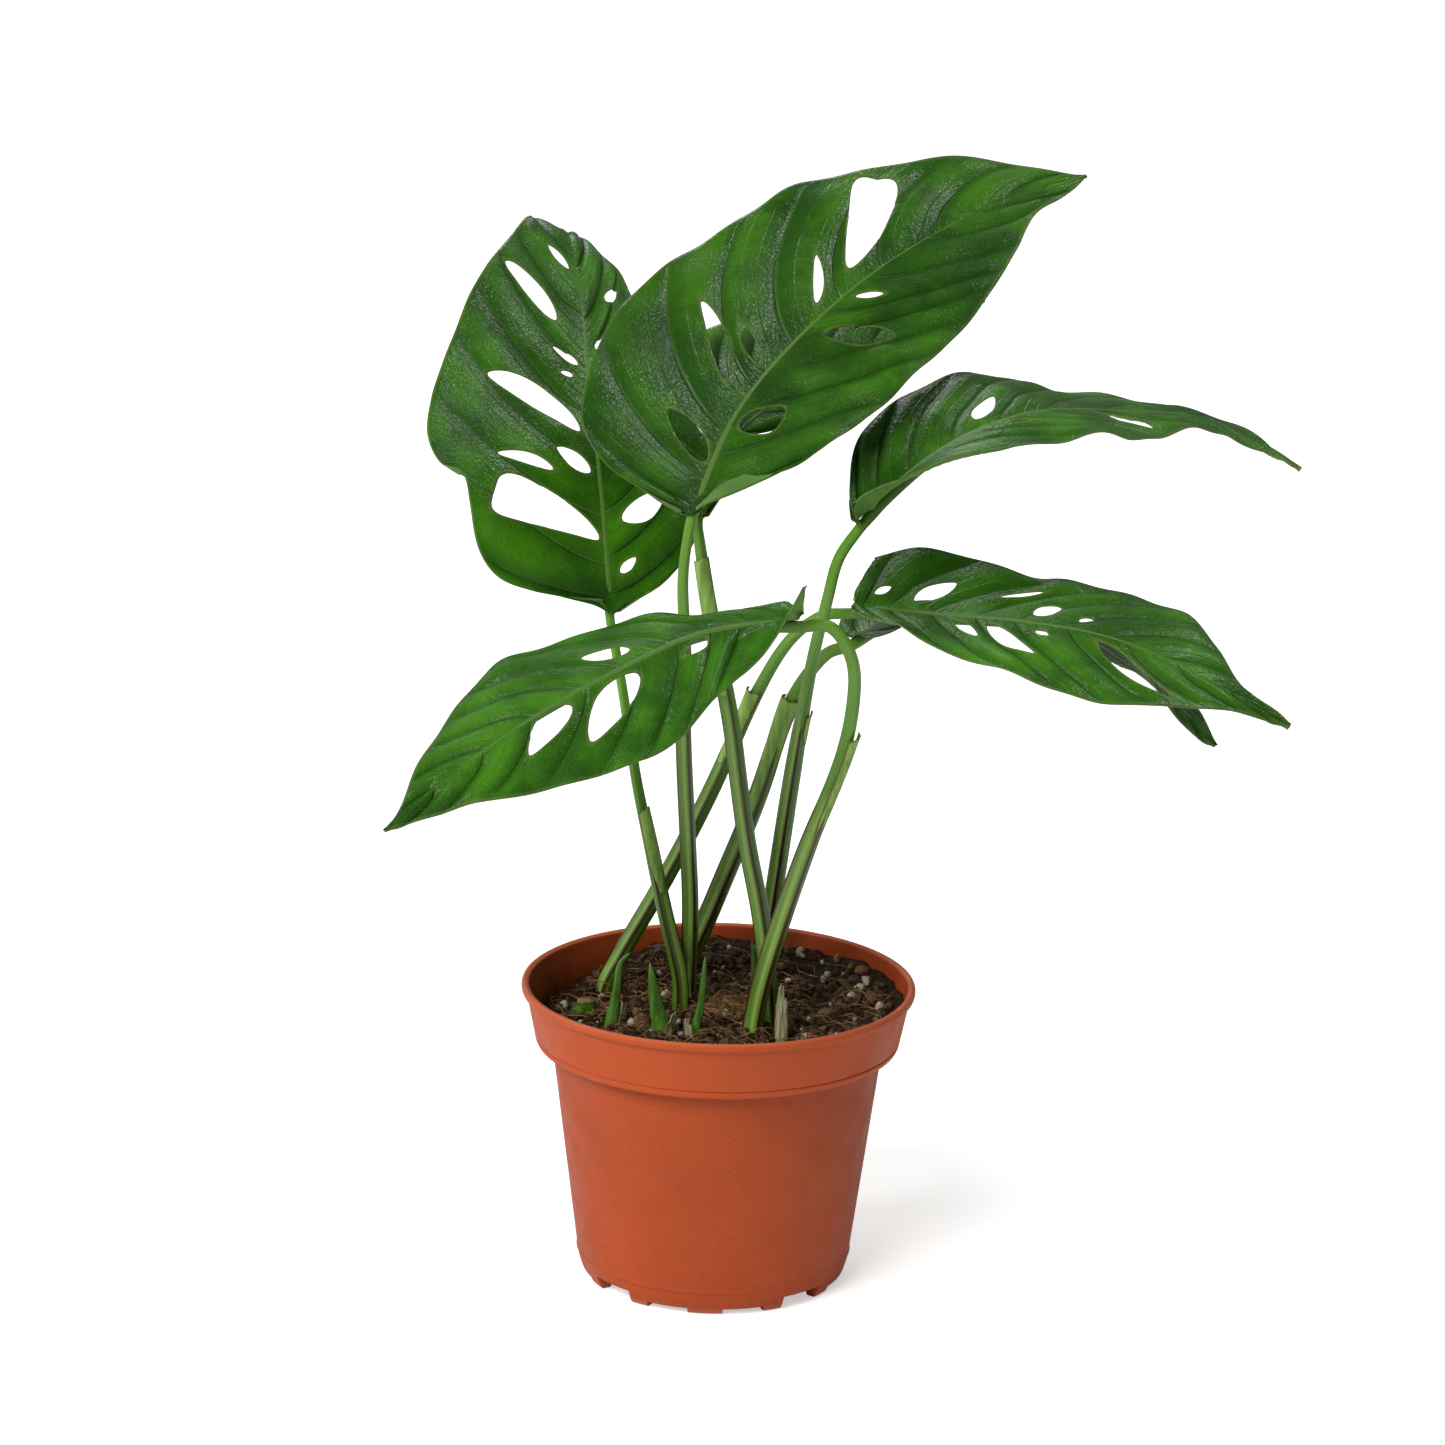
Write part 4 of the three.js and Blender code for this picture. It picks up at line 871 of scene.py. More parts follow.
def soil_places(random, count, spread=1.0):
    """Random places on the soil, evenly spread: distance = room sqrt(random)."""
    distance = (SOIL_RADIUS - BITS_MARGIN) * spread * np.sqrt(random.uniform(0, 1, count))
    turn = random.uniform(0, 2 * np.pi, count)
    x, y = distance * np.cos(turn), distance * np.sin(turn)
    return np.stack([x, y, soil_height(x, y)], -1)


def lump_shape():
    """A ball of 20 triangles: the corners of three golden rectangles."""
    g = (1 + 5**0.5) / 2
    corners = [[a, b * g, 0] for a in (-1, 1) for b in (-1, 1)]
    corners = np.array(corners + [[0, *c[:2]] for c in corners] + [[c[1], 0, c[0]] for c in corners])
    gap = np.linalg.norm(corners[:, None] - corners[None], axis=-1)
    near = np.isclose(gap, 2)
    a, b, c = np.meshgrid(*[np.arange(12)] * 3, indexing="ij")
    sides = near[a, b] & near[b, c] & near[a, c] & (a < b) & (b < c)
    faces = np.stack([a[sides], b[sides], c[sides]], -1)
    start, second, third = corners[faces[:, 0]], corners[faces[:, 1]], corners[faces[:, 2]]
    normal = np.cross(second - start, third - start)
    inward = np.sum(normal * start, -1) < 0
    faces[inward] = faces[inward][:, ::-1]
    return corners / np.linalg.norm(corners[0]), faces


def lumps(random, places, smallest, largest, stretch, sink):
    """Rough lumps at the given places: a 20-sided ball with each corner moved in or out at random."""
    ball, faces = lump_shape()
    count = len(places)
    shapes = ball * (1 + random.uniform(-0.28, 0.28, (count, 12, 1)))
    shape_size = smallest + (largest - smallest) * random.uniform(0, 1, (count, 1)) ** 2.2
    sizes = shape_size * np.array(stretch) * random.uniform(0.75, 1.25, (count, 3))
    turns = unit(random.normal(size=(count, 4)))
    places = places + np.array([0, 0, 1]) * shape_size * sink
    points, faces = scatter(shapes, faces, places, turns, sizes)
    return points, [faces]


def fibres(random, places, length, thickness):
    """Thin three-sided fibres: centre = place + direction s + sideways (bend (s^2 - 1) + a small wave) +
    arch (1 - s^2) upwards, s from -1 to 1, thinning to both ends as 1 - 0.7 s^4."""
    count = len(places)
    s = np.linspace(-1, 1, FIBRE_RINGS)[None, :, None]
    turn = random.uniform(0, 2 * np.pi, (count, 1, 1))
    reach = length * random.uniform(0.35, 1, (count, 1, 1)) / 2
    direction = np.concatenate([np.cos(turn), np.sin(turn), random.uniform(-0.25, 0.25, turn.shape)], -1)
    sideways = np.concatenate([-np.sin(turn), np.cos(turn), 0 * turn], -1)
    arch = random.uniform(0.0, 0.5, turn.shape) * reach
    bend = random.uniform(-0.5, 0.5, turn.shape) * reach
    wiggle = 0.06 * reach * np.sin(s * 7 + turn * 3)
    path = places[:, None] + direction * s * reach + sideways * (bend * (s**2 - 1) + wiggle)
    path = path + np.array([0, 0, 1]) * (arch * (1 - s**2) + 0.3)
    forward = unit(np.gradient(path, axis=1))
    across = unit(np.cross(forward, [0.02, 0.01, 1]))
    depth = np.cross(across, forward)
    corner = np.radians([90, 210, 330])
    radius = thickness * random.uniform(0.5, 1, (count, 1, 1)) * (1 - 0.7 * s**4)
    points = path[:, :, None] + radius[..., None] * (
        across[:, :, None] * np.cos(corner)[:, None] + depth[:, :, None] * np.sin(corner)[:, None]
    )
    strip = grid_faces(FIBRE_RINGS, 3, wrap=True)
    last = 3 * FIBRE_RINGS
    ends = np.array([[0, 1, 2], [last - 1, last - 2, last - 3]])
    shift = (np.arange(count) * last)[:, None, None]
    faces = [(strip + shift).reshape(-1, 4), (ends + shift).reshape(-1, 3)]
    return points.reshape(-1, 3), faces


# ---- pot ----
def round_corners(points, radius):
    """The polyline with each corner replaced by points of a parabola, which leaves it at most radius back
    along both sides."""
    rounded = [points[0]]
    for before, corner, after in zip(points, points[1:], points[2:]):
        before, corner, after = map(np.array, (before, corner, after))
        back, forth = before - corner, after - corner
        room = min(radius, 0.4 * np.linalg.norm(back), 0.4 * np.linalg.norm(forth))
        start, end = corner + unit(back) * room, corner + unit(forth) * room
        t = np.linspace(0, 1, CORNER_POINTS)[:, None]
        rounded.extend((1 - t) ** 2 * start + 2 * t * (1 - t) * corner + t**2 * end)
    return np.array([*rounded, points[-1]])


def pot_profile():
    """Half section [radius, height] from the middle of the underside, round the rim, to the middle of the
    floor."""
    line = SKIRT_HEIGHT
    groove = BAND_FOOT + 2.6
    ring = BASE_RADIUS - FOOT_RING_WIDTH
    outer = [
        [0, 0], [CENTRE_PAD_RADIUS, 0], [CENTRE_PAD_RADIUS + FOOT_SLOPE, UNDERSIDE_HEIGHT],
        [ring, UNDERSIDE_HEIGHT], [ring + FOOT_SLOPE, 0],
        [BASE_RADIUS, 0],
        [BASE_RADIUS + 0.45 * SKIRT_INSET, 0.3 * SKIRT_HEIGHT],
        [BASE_RADIUS + 0.8 * SKIRT_INSET, 0.64 * SKIRT_HEIGHT],
        [BODY_FOOT_RADIUS - 0.15, line - 0.5], [BODY_FOOT_RADIUS + 0.28, line - 0.1],
        [BODY_FOOT_RADIUS + 0.28, line + 0.35], [BODY_FOOT_RADIUS + 0.1, line + 0.8],
        [BODY_TOP_RADIUS, BAND_FOOT - 1.4],
        [BODY_TOP_RADIUS + 0.7, BAND_FOOT - 0.5],
        [BAND_FOOT_RADIUS - 1.4, BAND_FOOT],
        [BAND_FOOT_RADIUS - 0.45, BAND_FOOT + 0.45],
        [BAND_FOOT_RADIUS, BAND_FOOT + 1.4],
        [BAND_FOOT_RADIUS + 0.2, groove - 0.3], [BAND_FOOT_RADIUS - 0.25, groove],
        [BAND_FOOT_RADIUS + 0.3, groove + 0.35],
        [BAND_TOP_RADIUS, POT_HEIGHT - LIP_HEIGHT],
        [RIM_RADIUS - 0.3, POT_HEIGHT - 0.8 * LIP_HEIGHT],
        [RIM_RADIUS, POT_HEIGHT - 0.45 * LIP_HEIGHT],
        [RIM_RADIUS - 0.3, POT_HEIGHT - 0.1 * LIP_HEIGHT],
        [RIM_RADIUS - 1, POT_HEIGHT],
        [BAND_TOP_RADIUS - POT_WALL + 0.5, POT_HEIGHT - 0.15 * LIP_HEIGHT],
    ]
    return round_corners([*outer, *inner_wall()[::-1].tolist(), [0, FLOOR_TOP]], 0.5)


def notch_floor(turn):
    """Height of the gaps between the feet at each angle: a flat step wherever the angle is within half a
    width of a gap's middle, on the foot ring."""
    ring = BASE_RADIUS - FOOT_RING_WIDTH / 2
    deep, shallow = DEEP_NOTCHES, SHALLOW_NOTCHES
    middles = np.radians(deep["start"] + 360 / deep["count"] * np.arange(deep["count"]))
    halfway = middles + np.pi / deep["count"]
    spread = np.radians(shallow["spread"])
    height = np.zeros_like(turn)
    for angles, gap in ((middles, deep), (halfway - spread, shallow), (halfway + spread, shallow)):
        off = (turn[:, None] - angles + np.pi) % (2 * np.pi) - np.pi
        inside = np.abs(np.sin(off) * ring) < gap["width"] / 2
        inside &= np.abs(off) < 1
        height = np.maximum(height, np.where(inside.any(1), gap["height"], 0))
    return height


def pot_surface():
    """The half section turned about Z, with steps close together only at the sides of the gaps; the foot
    ring is raised to the gaps' height where they are."""
    section = pot_profile()
    even = np.linspace(0, 2 * np.pi, POT_STEPS, endpoint=False)
    step = np.abs(notch_floor(even) - np.roll(notch_floor(even), 1)) > 0.1
    kept = step | np.roll(step, -1)
    kept[::POT_STEP_KEPT] = True
    turn = even[kept]
    inner = section[1:-1]
    x, y = inner[:, :1] * np.cos(turn), inner[:, :1] * np.sin(turn)
    z = np.broadcast_to(inner[:, 1:], x.shape).copy()
    on_ring = (inner[:, 0] > BASE_RADIUS - FOOT_RING_WIDTH - 0.1) & (inner[:, 1] < DEEP_NOTCHES["height"])
    on_ring &= np.arange(len(inner)) < len(inner) / 2
    z[on_ring] = np.maximum(z[on_ring], notch_floor(turn))
    points = np.vstack([np.stack([x, y, z], -1).reshape(-1, 3), [0, 0, 0], [0, 0, FLOOR_TOP]])
    return points, closed_rings(*x.shape)


# ---- shader building blocks ----
def connect(tree, value, socket):
    """Links a socket to the input, or sets the input to a value."""
    if isinstance(value, bpy.types.NodeSocket):
        tree.links.new(value, socket)
    else:
        socket.default_value = value


def put(tree, kind, inputs=(), **settings):
    """A node with its settings; inputs are values or sockets, by number or by name."""
    made = tree.nodes.new(kind)
    for key, value in settings.items():
        setattr(made, key, value)
    pairs = inputs.items() if isinstance(inputs, dict) else enumerate(inputs)
    for key, value in pairs:
        connect(tree, value, made.inputs[key])
    return made


def new_group(name, inputs, outputs):
    """A shader node group with named sockets; returns the tree, its input node and its output node."""
    tree = bpy.data.node_groups.new(name, "ShaderNodeTree")
    kinds = {"value": "NodeSocketFloat", "colour": "NodeSocketColor", "vector": "NodeSocketVector"}
    for label, kind in inputs.items():
        tree.interface.new_socket(label, in_out="INPUT", socket_type=kinds[kind])
    for label, kind in outputs.items():
        tree.interface.new_socket(label, in_out="OUTPUT", socket_type=kinds[kind])
    return tree, tree.nodes.new("NodeGroupInput").outputs, tree.nodes.new("NodeGroupOutput").inputs


def math(tree, operation, *values):
    """One arithmetic step on values or sockets."""
    return put(tree, "ShaderNodeMath", values, operation=operation).outputs[0]


def fade(tree, value, low, high, start=0.0, end=1.0):
    """A smooth change from start to end as the value goes from low to high."""
    made = put(tree, "ShaderNodeMapRange", [value, low, high, start, end], interpolation_type="SMOOTHSTEP")
    return made.outputs[0]


def blend_colour(tree, share, first, second, blend_type="MIX"):
    """The first colour with a share of the second mixed in, on the Mix node's colour sockets."""
    given = {0: share, 6: first, 7: second}
    return put(tree, "ShaderNodeMix", given, data_type="RGBA", blend_type=blend_type).outputs[2]


def mottle_group():
    """Two colours mixed by cloudy noise."""
    shape = {"Vector": "vector", "Scale": "value", "Dark": "colour", "Light": "colour"}
    tree, given, result = new_group("mottle", shape, {"Colour": "colour"})
    noise = put(tree, "ShaderNodeTexNoise", {
        "Vector": given["Vector"], "Scale": given["Scale"], "Detail": 5.0, "Roughness": 0.6,
    })
    share = fade(tree, noise.outputs[0], 0.32, 0.68)
    tree.links.new(blend_colour(tree, share, given["Dark"], given["Light"]), result["Colour"])
    return tree


def grain_group():
    """Fine height: noise with a share of small cells."""
    shape = {"Vector": "vector", "Scale": "value", "Cells": "value"}
    tree, given, result = new_group("grain", shape, {"Height": "value"})
    place = {"Vector": given["Vector"], "Scale": given["Scale"]}
    noise = put(tree, "ShaderNodeTexNoise", {**place, "Detail": 6.0})
    cells = put(tree, "ShaderNodeTexVoronoi", place, feature="DISTANCE_TO_EDGE")
    walls = math(tree, "MULTIPLY", fade(tree, cells.outputs[0], 0.0, 0.16), given["Cells"])
    tree.links.new(math(tree, "ADD", noise.outputs[0], walls), result["Height"])
    return tree


def specks_group():
    """Scattered dots: a share of the cells of a pattern get a dot of the given size at their middle."""
    shape = {"Vector": "vector", "Scale": "value", "Size": "value", "Share": "value"}
    tree, given, result = new_group("specks", shape, {"Mask": "value"})
    cells = put(tree, "ShaderNodeTexVoronoi", {"Vector": given["Vector"], "Scale": given["Scale"]})
    dot = math(tree, "LESS_THAN", cells.outputs["Distance"], given["Size"])
    pick = put(tree, "ShaderNodeSeparateColor", [cells.outputs["Color"]]).outputs[0]
    tree.links.new(math(tree, "MULTIPLY", dot, math(tree, "LESS_THAN", pick, given["Share"])), result["Mask"])
    return tree


def vein_group():
    """Lines where the phase is a whole number, finer ones four times as close, and a wide soft mask round
    each main line for painted shade in the valleys; the lines thin out from midrib to edge."""
    shape = {"Veins": "vector", "Width": "value"}
    masks = {"Main": "value", "Fine": "value", "ValleyShade": "value"}
    tree, given, result = new_group("vein_lines", shape, masks)
    parts = put(tree, "ShaderNodeSeparateXYZ", [given["Veins"]])
    crease = math(tree, "PINGPONG", parts.outputs[0], 0.5)
    depth = fade(tree, crease, 0.0, 0.36, 1.0, 0.0)
    # mask for the painted shade in the valley round each side vein
    valley_shade = math(tree, "MULTIPLY", depth, fade(tree, parts.outputs[1], 0.0, 0.1))
    tree.links.new(valley_shade, result["ValleyShade"])
    for label, count, width in (("Main", 1.0, 1.0), ("Fine", 4.0, 1.6)):
        phase = math(tree, "MULTIPLY", parts.outputs[0], count)
        away = math(tree, "PINGPONG", phase, 0.5)
        reach = math(tree, "MULTIPLY", given["Width"], width)
        line = fade(tree, away, 0.0, reach, 1.0, 0.0)
        thin = fade(tree, parts.outputs[1], 0.0, 1.0, 1.0, 0.25)
        tree.links.new(math(tree, "MULTIPLY", line, thin), result[label])
    return tree


GROUP_MAKERS = {"mottle": mottle_group, "grain": grain_group, "specks": specks_group, "veins": vein_group}
GROUPS = {}


def shared(name):
    """The node group of that name, made the first time it is asked for."""
    if name not in GROUPS:
        GROUPS[name] = GROUP_MAKERS[name]()
    return GROUPS[name]


class Finish:
    """A material being made: its tree, Principled shader and Object coordinates."""

    def __init__(self, name, **constants):
        self.material = bpy.data.materials.new(name)
        self.material.use_nodes = True
        self.tree = self.material.node_tree
        self.shader = self.tree.nodes["Principled BSDF"]
        for label, value in constants.items():
            self.shader.inputs[label.replace("_", " ")].default_value = value
        self.object_place = put(self.tree, "ShaderNodeTexCoord").outputs["Object"]

    def uv(self, name):
        return put(self.tree, "ShaderNodeUVMap", uv_map=name).outputs[0]

    def attribute(self, name):
        return put(self.tree, "ShaderNodeAttribute", attribute_name=name).outputs["Fac"]

    def group(self, name, **inputs):
        """A shared node group's outputs; it reads Object coordinates unless it is given a Vector."""
        made = self.tree.nodes.new("ShaderNodeGroup")
        made.node_tree = shared(name)
        if "Vector" in made.inputs:
            inputs.setdefault("Vector", self.object_place)
        for label, value in inputs.items():
            connect(self.tree, value, made.inputs[label])
        return made.outputs

    def mottle(self, scale, dark, light, **place):
        return self.group("mottle", Scale=scale, Dark=dark, Light=light, **place)["Colour"]

    def grain(self, scale, cells, **place):
        return self.group("grain", Scale=scale, Cells=cells, **place)["Height"]

    def specks(self, scale, size, share):
        return self.group("specks", Scale=scale, Size=size, Share=share)["Mask"]

    def times(self, mask, factor):
        return math(self.tree, "MULTIPLY", mask, factor)

    def painted(self, base, mask, share, colour):
        """The base colour with a share of another one where the mask is."""
        return blend_colour(self.tree, self.times(mask, share), base, colour)

    def stretched(self, place, scale):
        return put(self.tree, "ShaderNodeMapping", {"Vector": place, "Scale": scale}).outputs[0]

    def colour(self, socket):
        self.tree.links.new(socket, self.shader.inputs["Base Color"])

    def roughness(self, low, high, scale):
        """Roughness that drifts between two values."""
        given = {"Vector": self.object_place, "Scale": scale, "Detail": 4.0}
        noise = put(self.tree, "ShaderNodeTexNoise", given).outputs[0]
        drift = fade(self.tree, noise, 0.3, 0.7, low, high)
        self.tree.links.new(drift, self.shader.inputs["Roughness"])

    def bump(self, height, distance, strength=1.0):
        """Relief of the given height field, its depth in metres."""
        given = {"Height": height, "Distance": distance, "Strength": strength}
        self.tree.links.new(put(self.tree, "ShaderNodeBump", given).outputs[0], self.shader.inputs["Normal"])


def tint(colour, factor):
    """A colour made lighter or darker, with the alpha that a socket wants."""
    return (*[min(1.0, c * factor) for c in colour[:3]], 1.0)


def leaf_top_finish(name, colours, tone):
    """Glossy deep green with clouded patches, painted shade in the valleys round the side veins, fine pale
    veins and a thin pale rim.
    """
    finish = Finish(name, Specular_IOR_Level=0.36)
    tree = finish.tree
    base = finish.mottle(38, tint(colours.leaf_dark, tone), tint(colours.leaf_light, tone))
    lines = finish.group("veins", Veins=finish.uv("veins"), Width=0.05)
    # painted shade: the valleys round the side veins are darkened towards the dark leaf colour
    base = finish.painted(base, lines["ValleyShade"], 0.6, tint(colours.leaf_dark, tone))
    base = finish.painted(base, lines["Main"], 0.2, tint(colours.vein, 1))
    base = finish.painted(base, lines["Fine"], 0.06, tint(colours.vein, 1))
    rim = fade(tree, finish.attribute("rim"), 0.25, 0.8, 1.0, 0.0)
    finish.colour(finish.painted(base, rim, 0.55, tint(colours.leaf_rim, 1)))
    finish.roughness(0.2, 0.34, 60)
    grain = finish.grain(70.0, 0.15, Vector=finish.uv("place"))
    sunk = finish.times(math(tree, "ADD", lines["Main"], finish.times(lines["Fine"], 0.5)), -1.5)
    finish.bump(math(tree, "ADD", grain, sunk), 0.0004, 0.8)
    return finish.material


def leaf_under_finish(name, colours, tone):
    """Paler and duller green, with veins that stand out."""
    finish = Finish(name, Specular_IOR_Level=0.4)
    base = finish.mottle(45, tint(colours.leaf_under, 0.8 * tone), tint(colours.leaf_under, 1.15 * tone))
    lines = finish.group("veins", Veins=finish.uv("veins"), Width=0.07)
    base = finish.painted(base, lines["Main"], 0.65, tint(colours.vein, 1.2))
    finish.colour(finish.painted(base, lines["Fine"], 0.25, tint(colours.vein, 1.1)))
    finish.roughness(0.42, 0.6, 50)
    grain = finish.grain(90.0, 0.5, Vector=finish.uv("place"))
    finish.bump(math(finish.tree, "ADD", grain, lines["Main"]), 0.0003, 0.8)
    return finish.material


def leaf_edge_finish(colours):
    """The thin cut face round a blade and its holes."""
    finish = Finish("leaf_edge", Specular_IOR_Level=0.4)
    finish.colour(finish.mottle(400, tint(colours.leaf_rim, 0.7), tint(colours.leaf_rim, 1.3)))
    finish.roughness(0.4, 0.6, 200)
    return finish.material


def stalk_finish(colours):
    """Streaked green, even towards the top, with a pale groove, brown edges to it and a pale midrib."""
    finish = Finish("stalk_skin", Specular_IOR_Level=0.5, Coat_Weight=0.1, Coat_Roughness=0.35)
    tree = finish.tree
    along = finish.stretched(finish.uv("around"), (9.0, 1.4, 1.0))
    base = finish.mottle(3.0, tint(colours.stalk_dark, 1), tint(colours.stalk, 1), Vector=along)
    high = fade(tree, finish.attribute("height"), 0.35, 0.95)
    base = blend_colour(tree, high, base, tint(colours.stalk, 1.05))
    base = finish.painted(base, finish.attribute("channel"), 0.9, tint(colours.channel, 1))
    low = fade(tree, finish.attribute("height"), 0.0, 0.6, 1.0, 0.0)
    crest = fade(tree, finish.attribute("crest"), 0.4, 0.75)
    base = finish.painted(base, crest, fade(tree, low, 0.0, 0.5, 0.8, 1.0), tint(colours.wing, 1))
    finish.colour(finish.painted(base, finish.attribute("on_blade"), 0.85, tint(colours.vein, 0.62)))
    finish.roughness(0.25, 0.4, 120)
    finish.bump(finish.grain(9.0, 0.1, Vector=along), 0.0003, 0.5)
    return finish.material


def plain_finish(name, dark, light, scale, roughness, grain_scale, depth, cells=0.2, **constants):
    """Mottled colour, uneven roughness and a fine grain, for the small natural pieces."""
    finish = Finish(name, **constants)
    finish.colour(finish.mottle(scale, tint(dark, 1), tint(light, 1)))
    finish.roughness(*roughness, scale)
    finish.bump(finish.grain(grain_scale, cells), depth)
    return finish.material


def edge_streak_finish(name, middle, edge, scale):
    """For torn sheaths: the colour runs from the middle to the edge, with lengthwise streaks."""
    finish = Finish(name, Specular_IOR_Level=0.35)
    upright = finish.stretched(finish.object_place, (1.0, 1.0, 0.12))
    body = finish.mottle(scale, tint(middle, 0.7), tint(middle, 1.2), Vector=upright)
    rim = fade(finish.tree, finish.attribute("edge"), 0.72, 0.97)
    finish.colour(finish.painted(body, rim, 0.85, tint(edge, 1)))
    finish.roughness(0.45, 0.7, 150)
    finish.bump(finish.grain(1400.0, 0.0, Vector=upright), 0.0003)
    return finish.material


def shoot_finish(colours):
    """Fresh green with lengthwise streaks and a paler tip."""
    finish = Finish("shoot_skin", Specular_IOR_Level=0.5)
    upright = finish.stretched(finish.object_place, (1.0, 1.0, 0.15))
    body = finish.mottle(500.0, tint(colours.shoot, 0.6), tint(colours.shoot, 1.4), Vector=upright)
    tip = fade(finish.tree, finish.attribute("height"), 0.8, 1.0)
    finish.colour(finish.painted(body, tip, 0.6, tint(colours.vein, 1.2)))
    finish.roughness(0.3, 0.5, 150)
    finish.bump(finish.grain(1100.0, 0.1, Vector=upright), 0.0003, 0.6)
    return finish.material


def stub_finish(colours):
    """Green sides and a dry brown cut."""
    finish = Finish("cut_stub", Specular_IOR_Level=0.3)
    side = finish.mottle(300, tint(colours.shoot, 0.5), tint(colours.stalk, 1.0))
    top = finish.mottle(900.0, (0.2, 0.11, 0.04, 1), (0.42, 0.27, 0.12, 1))
    cut = fade(finish.tree, finish.attribute("height"), 0.93, 0.99)
    finish.colour(blend_colour(finish.tree, cut, side, top))
    finish.roughness(0.5, 0.75, 200)
    finish.bump(finish.grain(1500.0, 0.3), 0.0004)
    return finish.material


def soil_finish(colours):
    """Dark mottled peat with paler dust."""
    finish = Finish("peat_soil", Specular_IOR_Level=0.25)
    base = finish.mottle(420, tint(colours.soil, 0.5), tint(colours.soil, 2.0))
    finish.colour(finish.painted(base, finish.specks(900.0, 0.3, 0.12), 0.7, (0.2, 0.125, 0.055, 1)))
    finish.roughness(0.7, 0.95, 300)
    finish.bump(finish.grain(1300.0, 0.6), 0.0009)
    return finish.material


def pot_finish(colours):
    """Slightly speckled plastic: worn paler at the rim and feet, painted light on the rim band, and darker
    mottling inside the pot, strongest near the soil.
    """
    finish = Finish("terracotta_plastic", Specular_IOR_Level=0.22)
    tree = finish.tree
    base = finish.mottle(26, tint(colours.pot, 0.93), tint(colours.pot, 1.06))
    fine = finish.mottle(900, (0.86, 0.86, 0.86, 1), (1, 1, 1, 1))
    base = blend_colour(tree, 0.6, base, fine, "MULTIPLY")
    base = finish.painted(base, finish.specks(520.0, 0.1, 0.2), 0.35, (0.62, 0.3, 0.2, 1))
    base = finish.painted(base, finish.specks(640.0, 0.1, 0.1), 0.4, tint(colours.pot, 0.45))
    height = put(tree, "ShaderNodeSeparateXYZ", [finish.object_place]).outputs[2]
    worn = fade(tree, height, (POT_HEIGHT - 1.2) * MM, (POT_HEIGHT - 0.1) * MM)
    foot = fade(tree, height, 0.0, 2.5 * MM, 1.0, 0.0)
    wear = math(tree, "MAXIMUM", finish.times(worn, 0.4), finish.times(foot, 0.3))
    base = blend_colour(tree, wear, base, (0.6, 0.27, 0.17, 1))
    flat = put(tree, "ShaderNodeVectorMath", [finish.object_place, (1, 1, 0)], operation="MULTIPLY")
    away = put(tree, "ShaderNodeVectorMath", [flat.outputs[0]], operation="LENGTH").outputs["Value"]
    outer = math(tree, "MULTIPLY_ADD", height, BAND_SLOPE, (BAND_FOOT_RADIUS - BAND_FOOT * BAND_SLOPE) * MM)
    inside = math(tree, "GREATER_THAN", math(tree, "SUBTRACT", outer, away), 0.5 * POT_WALL * MM)
    above = math(tree, "GREATER_THAN", height, BAND_FOOT * MM)
    # darker mottling on the inner wall above the band's foot, strongest near the soil and fading towards the
    # rim
    inner_darkening = finish.mottle(70, (0.08, 0.08, 0.08, 1), (0.5, 0.45, 0.42, 1))
    # painted light: the rim band is painted lighter than the body below it
    band = fade(tree, height, (BAND_FOOT - 1) * MM, BAND_FOOT * MM)
    base = finish.painted(base, band, 0.5, tint(colours.pot, 1.3))
    near_soil = fade(tree, height, (SOIL_TOP - 2) * MM, (POT_HEIGHT - 1) * MM, 1.0, 0.35)
    # where the inner wall is darkened: inside, above the band's foot, most near the soil
    darker_inside = finish.times(finish.times(inside, above), near_soil)
    finish.colour(blend_colour(tree, darker_inside, base, blend_colour(tree, 1.0, base, inner_darkening, "MULTIPLY")))
    finish.roughness(0.42, 0.58, 90)
    finish.bump(finish.grain(1500.0, 0.15), 0.00012, 0.8)
    return finish.material


# ---- sizes and colours to change ----
def length(name, description, default):
    return FloatProperty(name=name, description=description, default=default, unit="LENGTH", precision=5)


def colour(name, description, default):
    return FloatVectorProperty(name=name, description=description, default=default, subtype="COLOR", size=3,
        min=0, max=1)


class MonsteraSizes(bpy.types.PropertyGroup):
    """Sizes of the fine surface."""

    leaf_thickness: length("Leaf thickness", "Thickness of the blades", 0.00045)
    pillow: length("Pillowing", "Rise of the blade between its side veins", 0.0015)
    edge_wave: length("Edge wave", "Waviness of the blade's edge", 0.0007)
    vein_count: IntProperty(name="Side veins", description="Side veins on each half of a blade", default=10)
    crumb_count: IntProperty(name="Crumbs", description="Loose crumbs on the soil", default=1500)
    fibre_count: IntProperty(name="Fibres", description="Coir fibres on the soil", default=620)
    perlite_count: IntProperty(name="Perlite", description="White grains on the soil", default=110)
    bark_count: IntProperty(name="Bark", description="Bark chips on the soil", default=46)


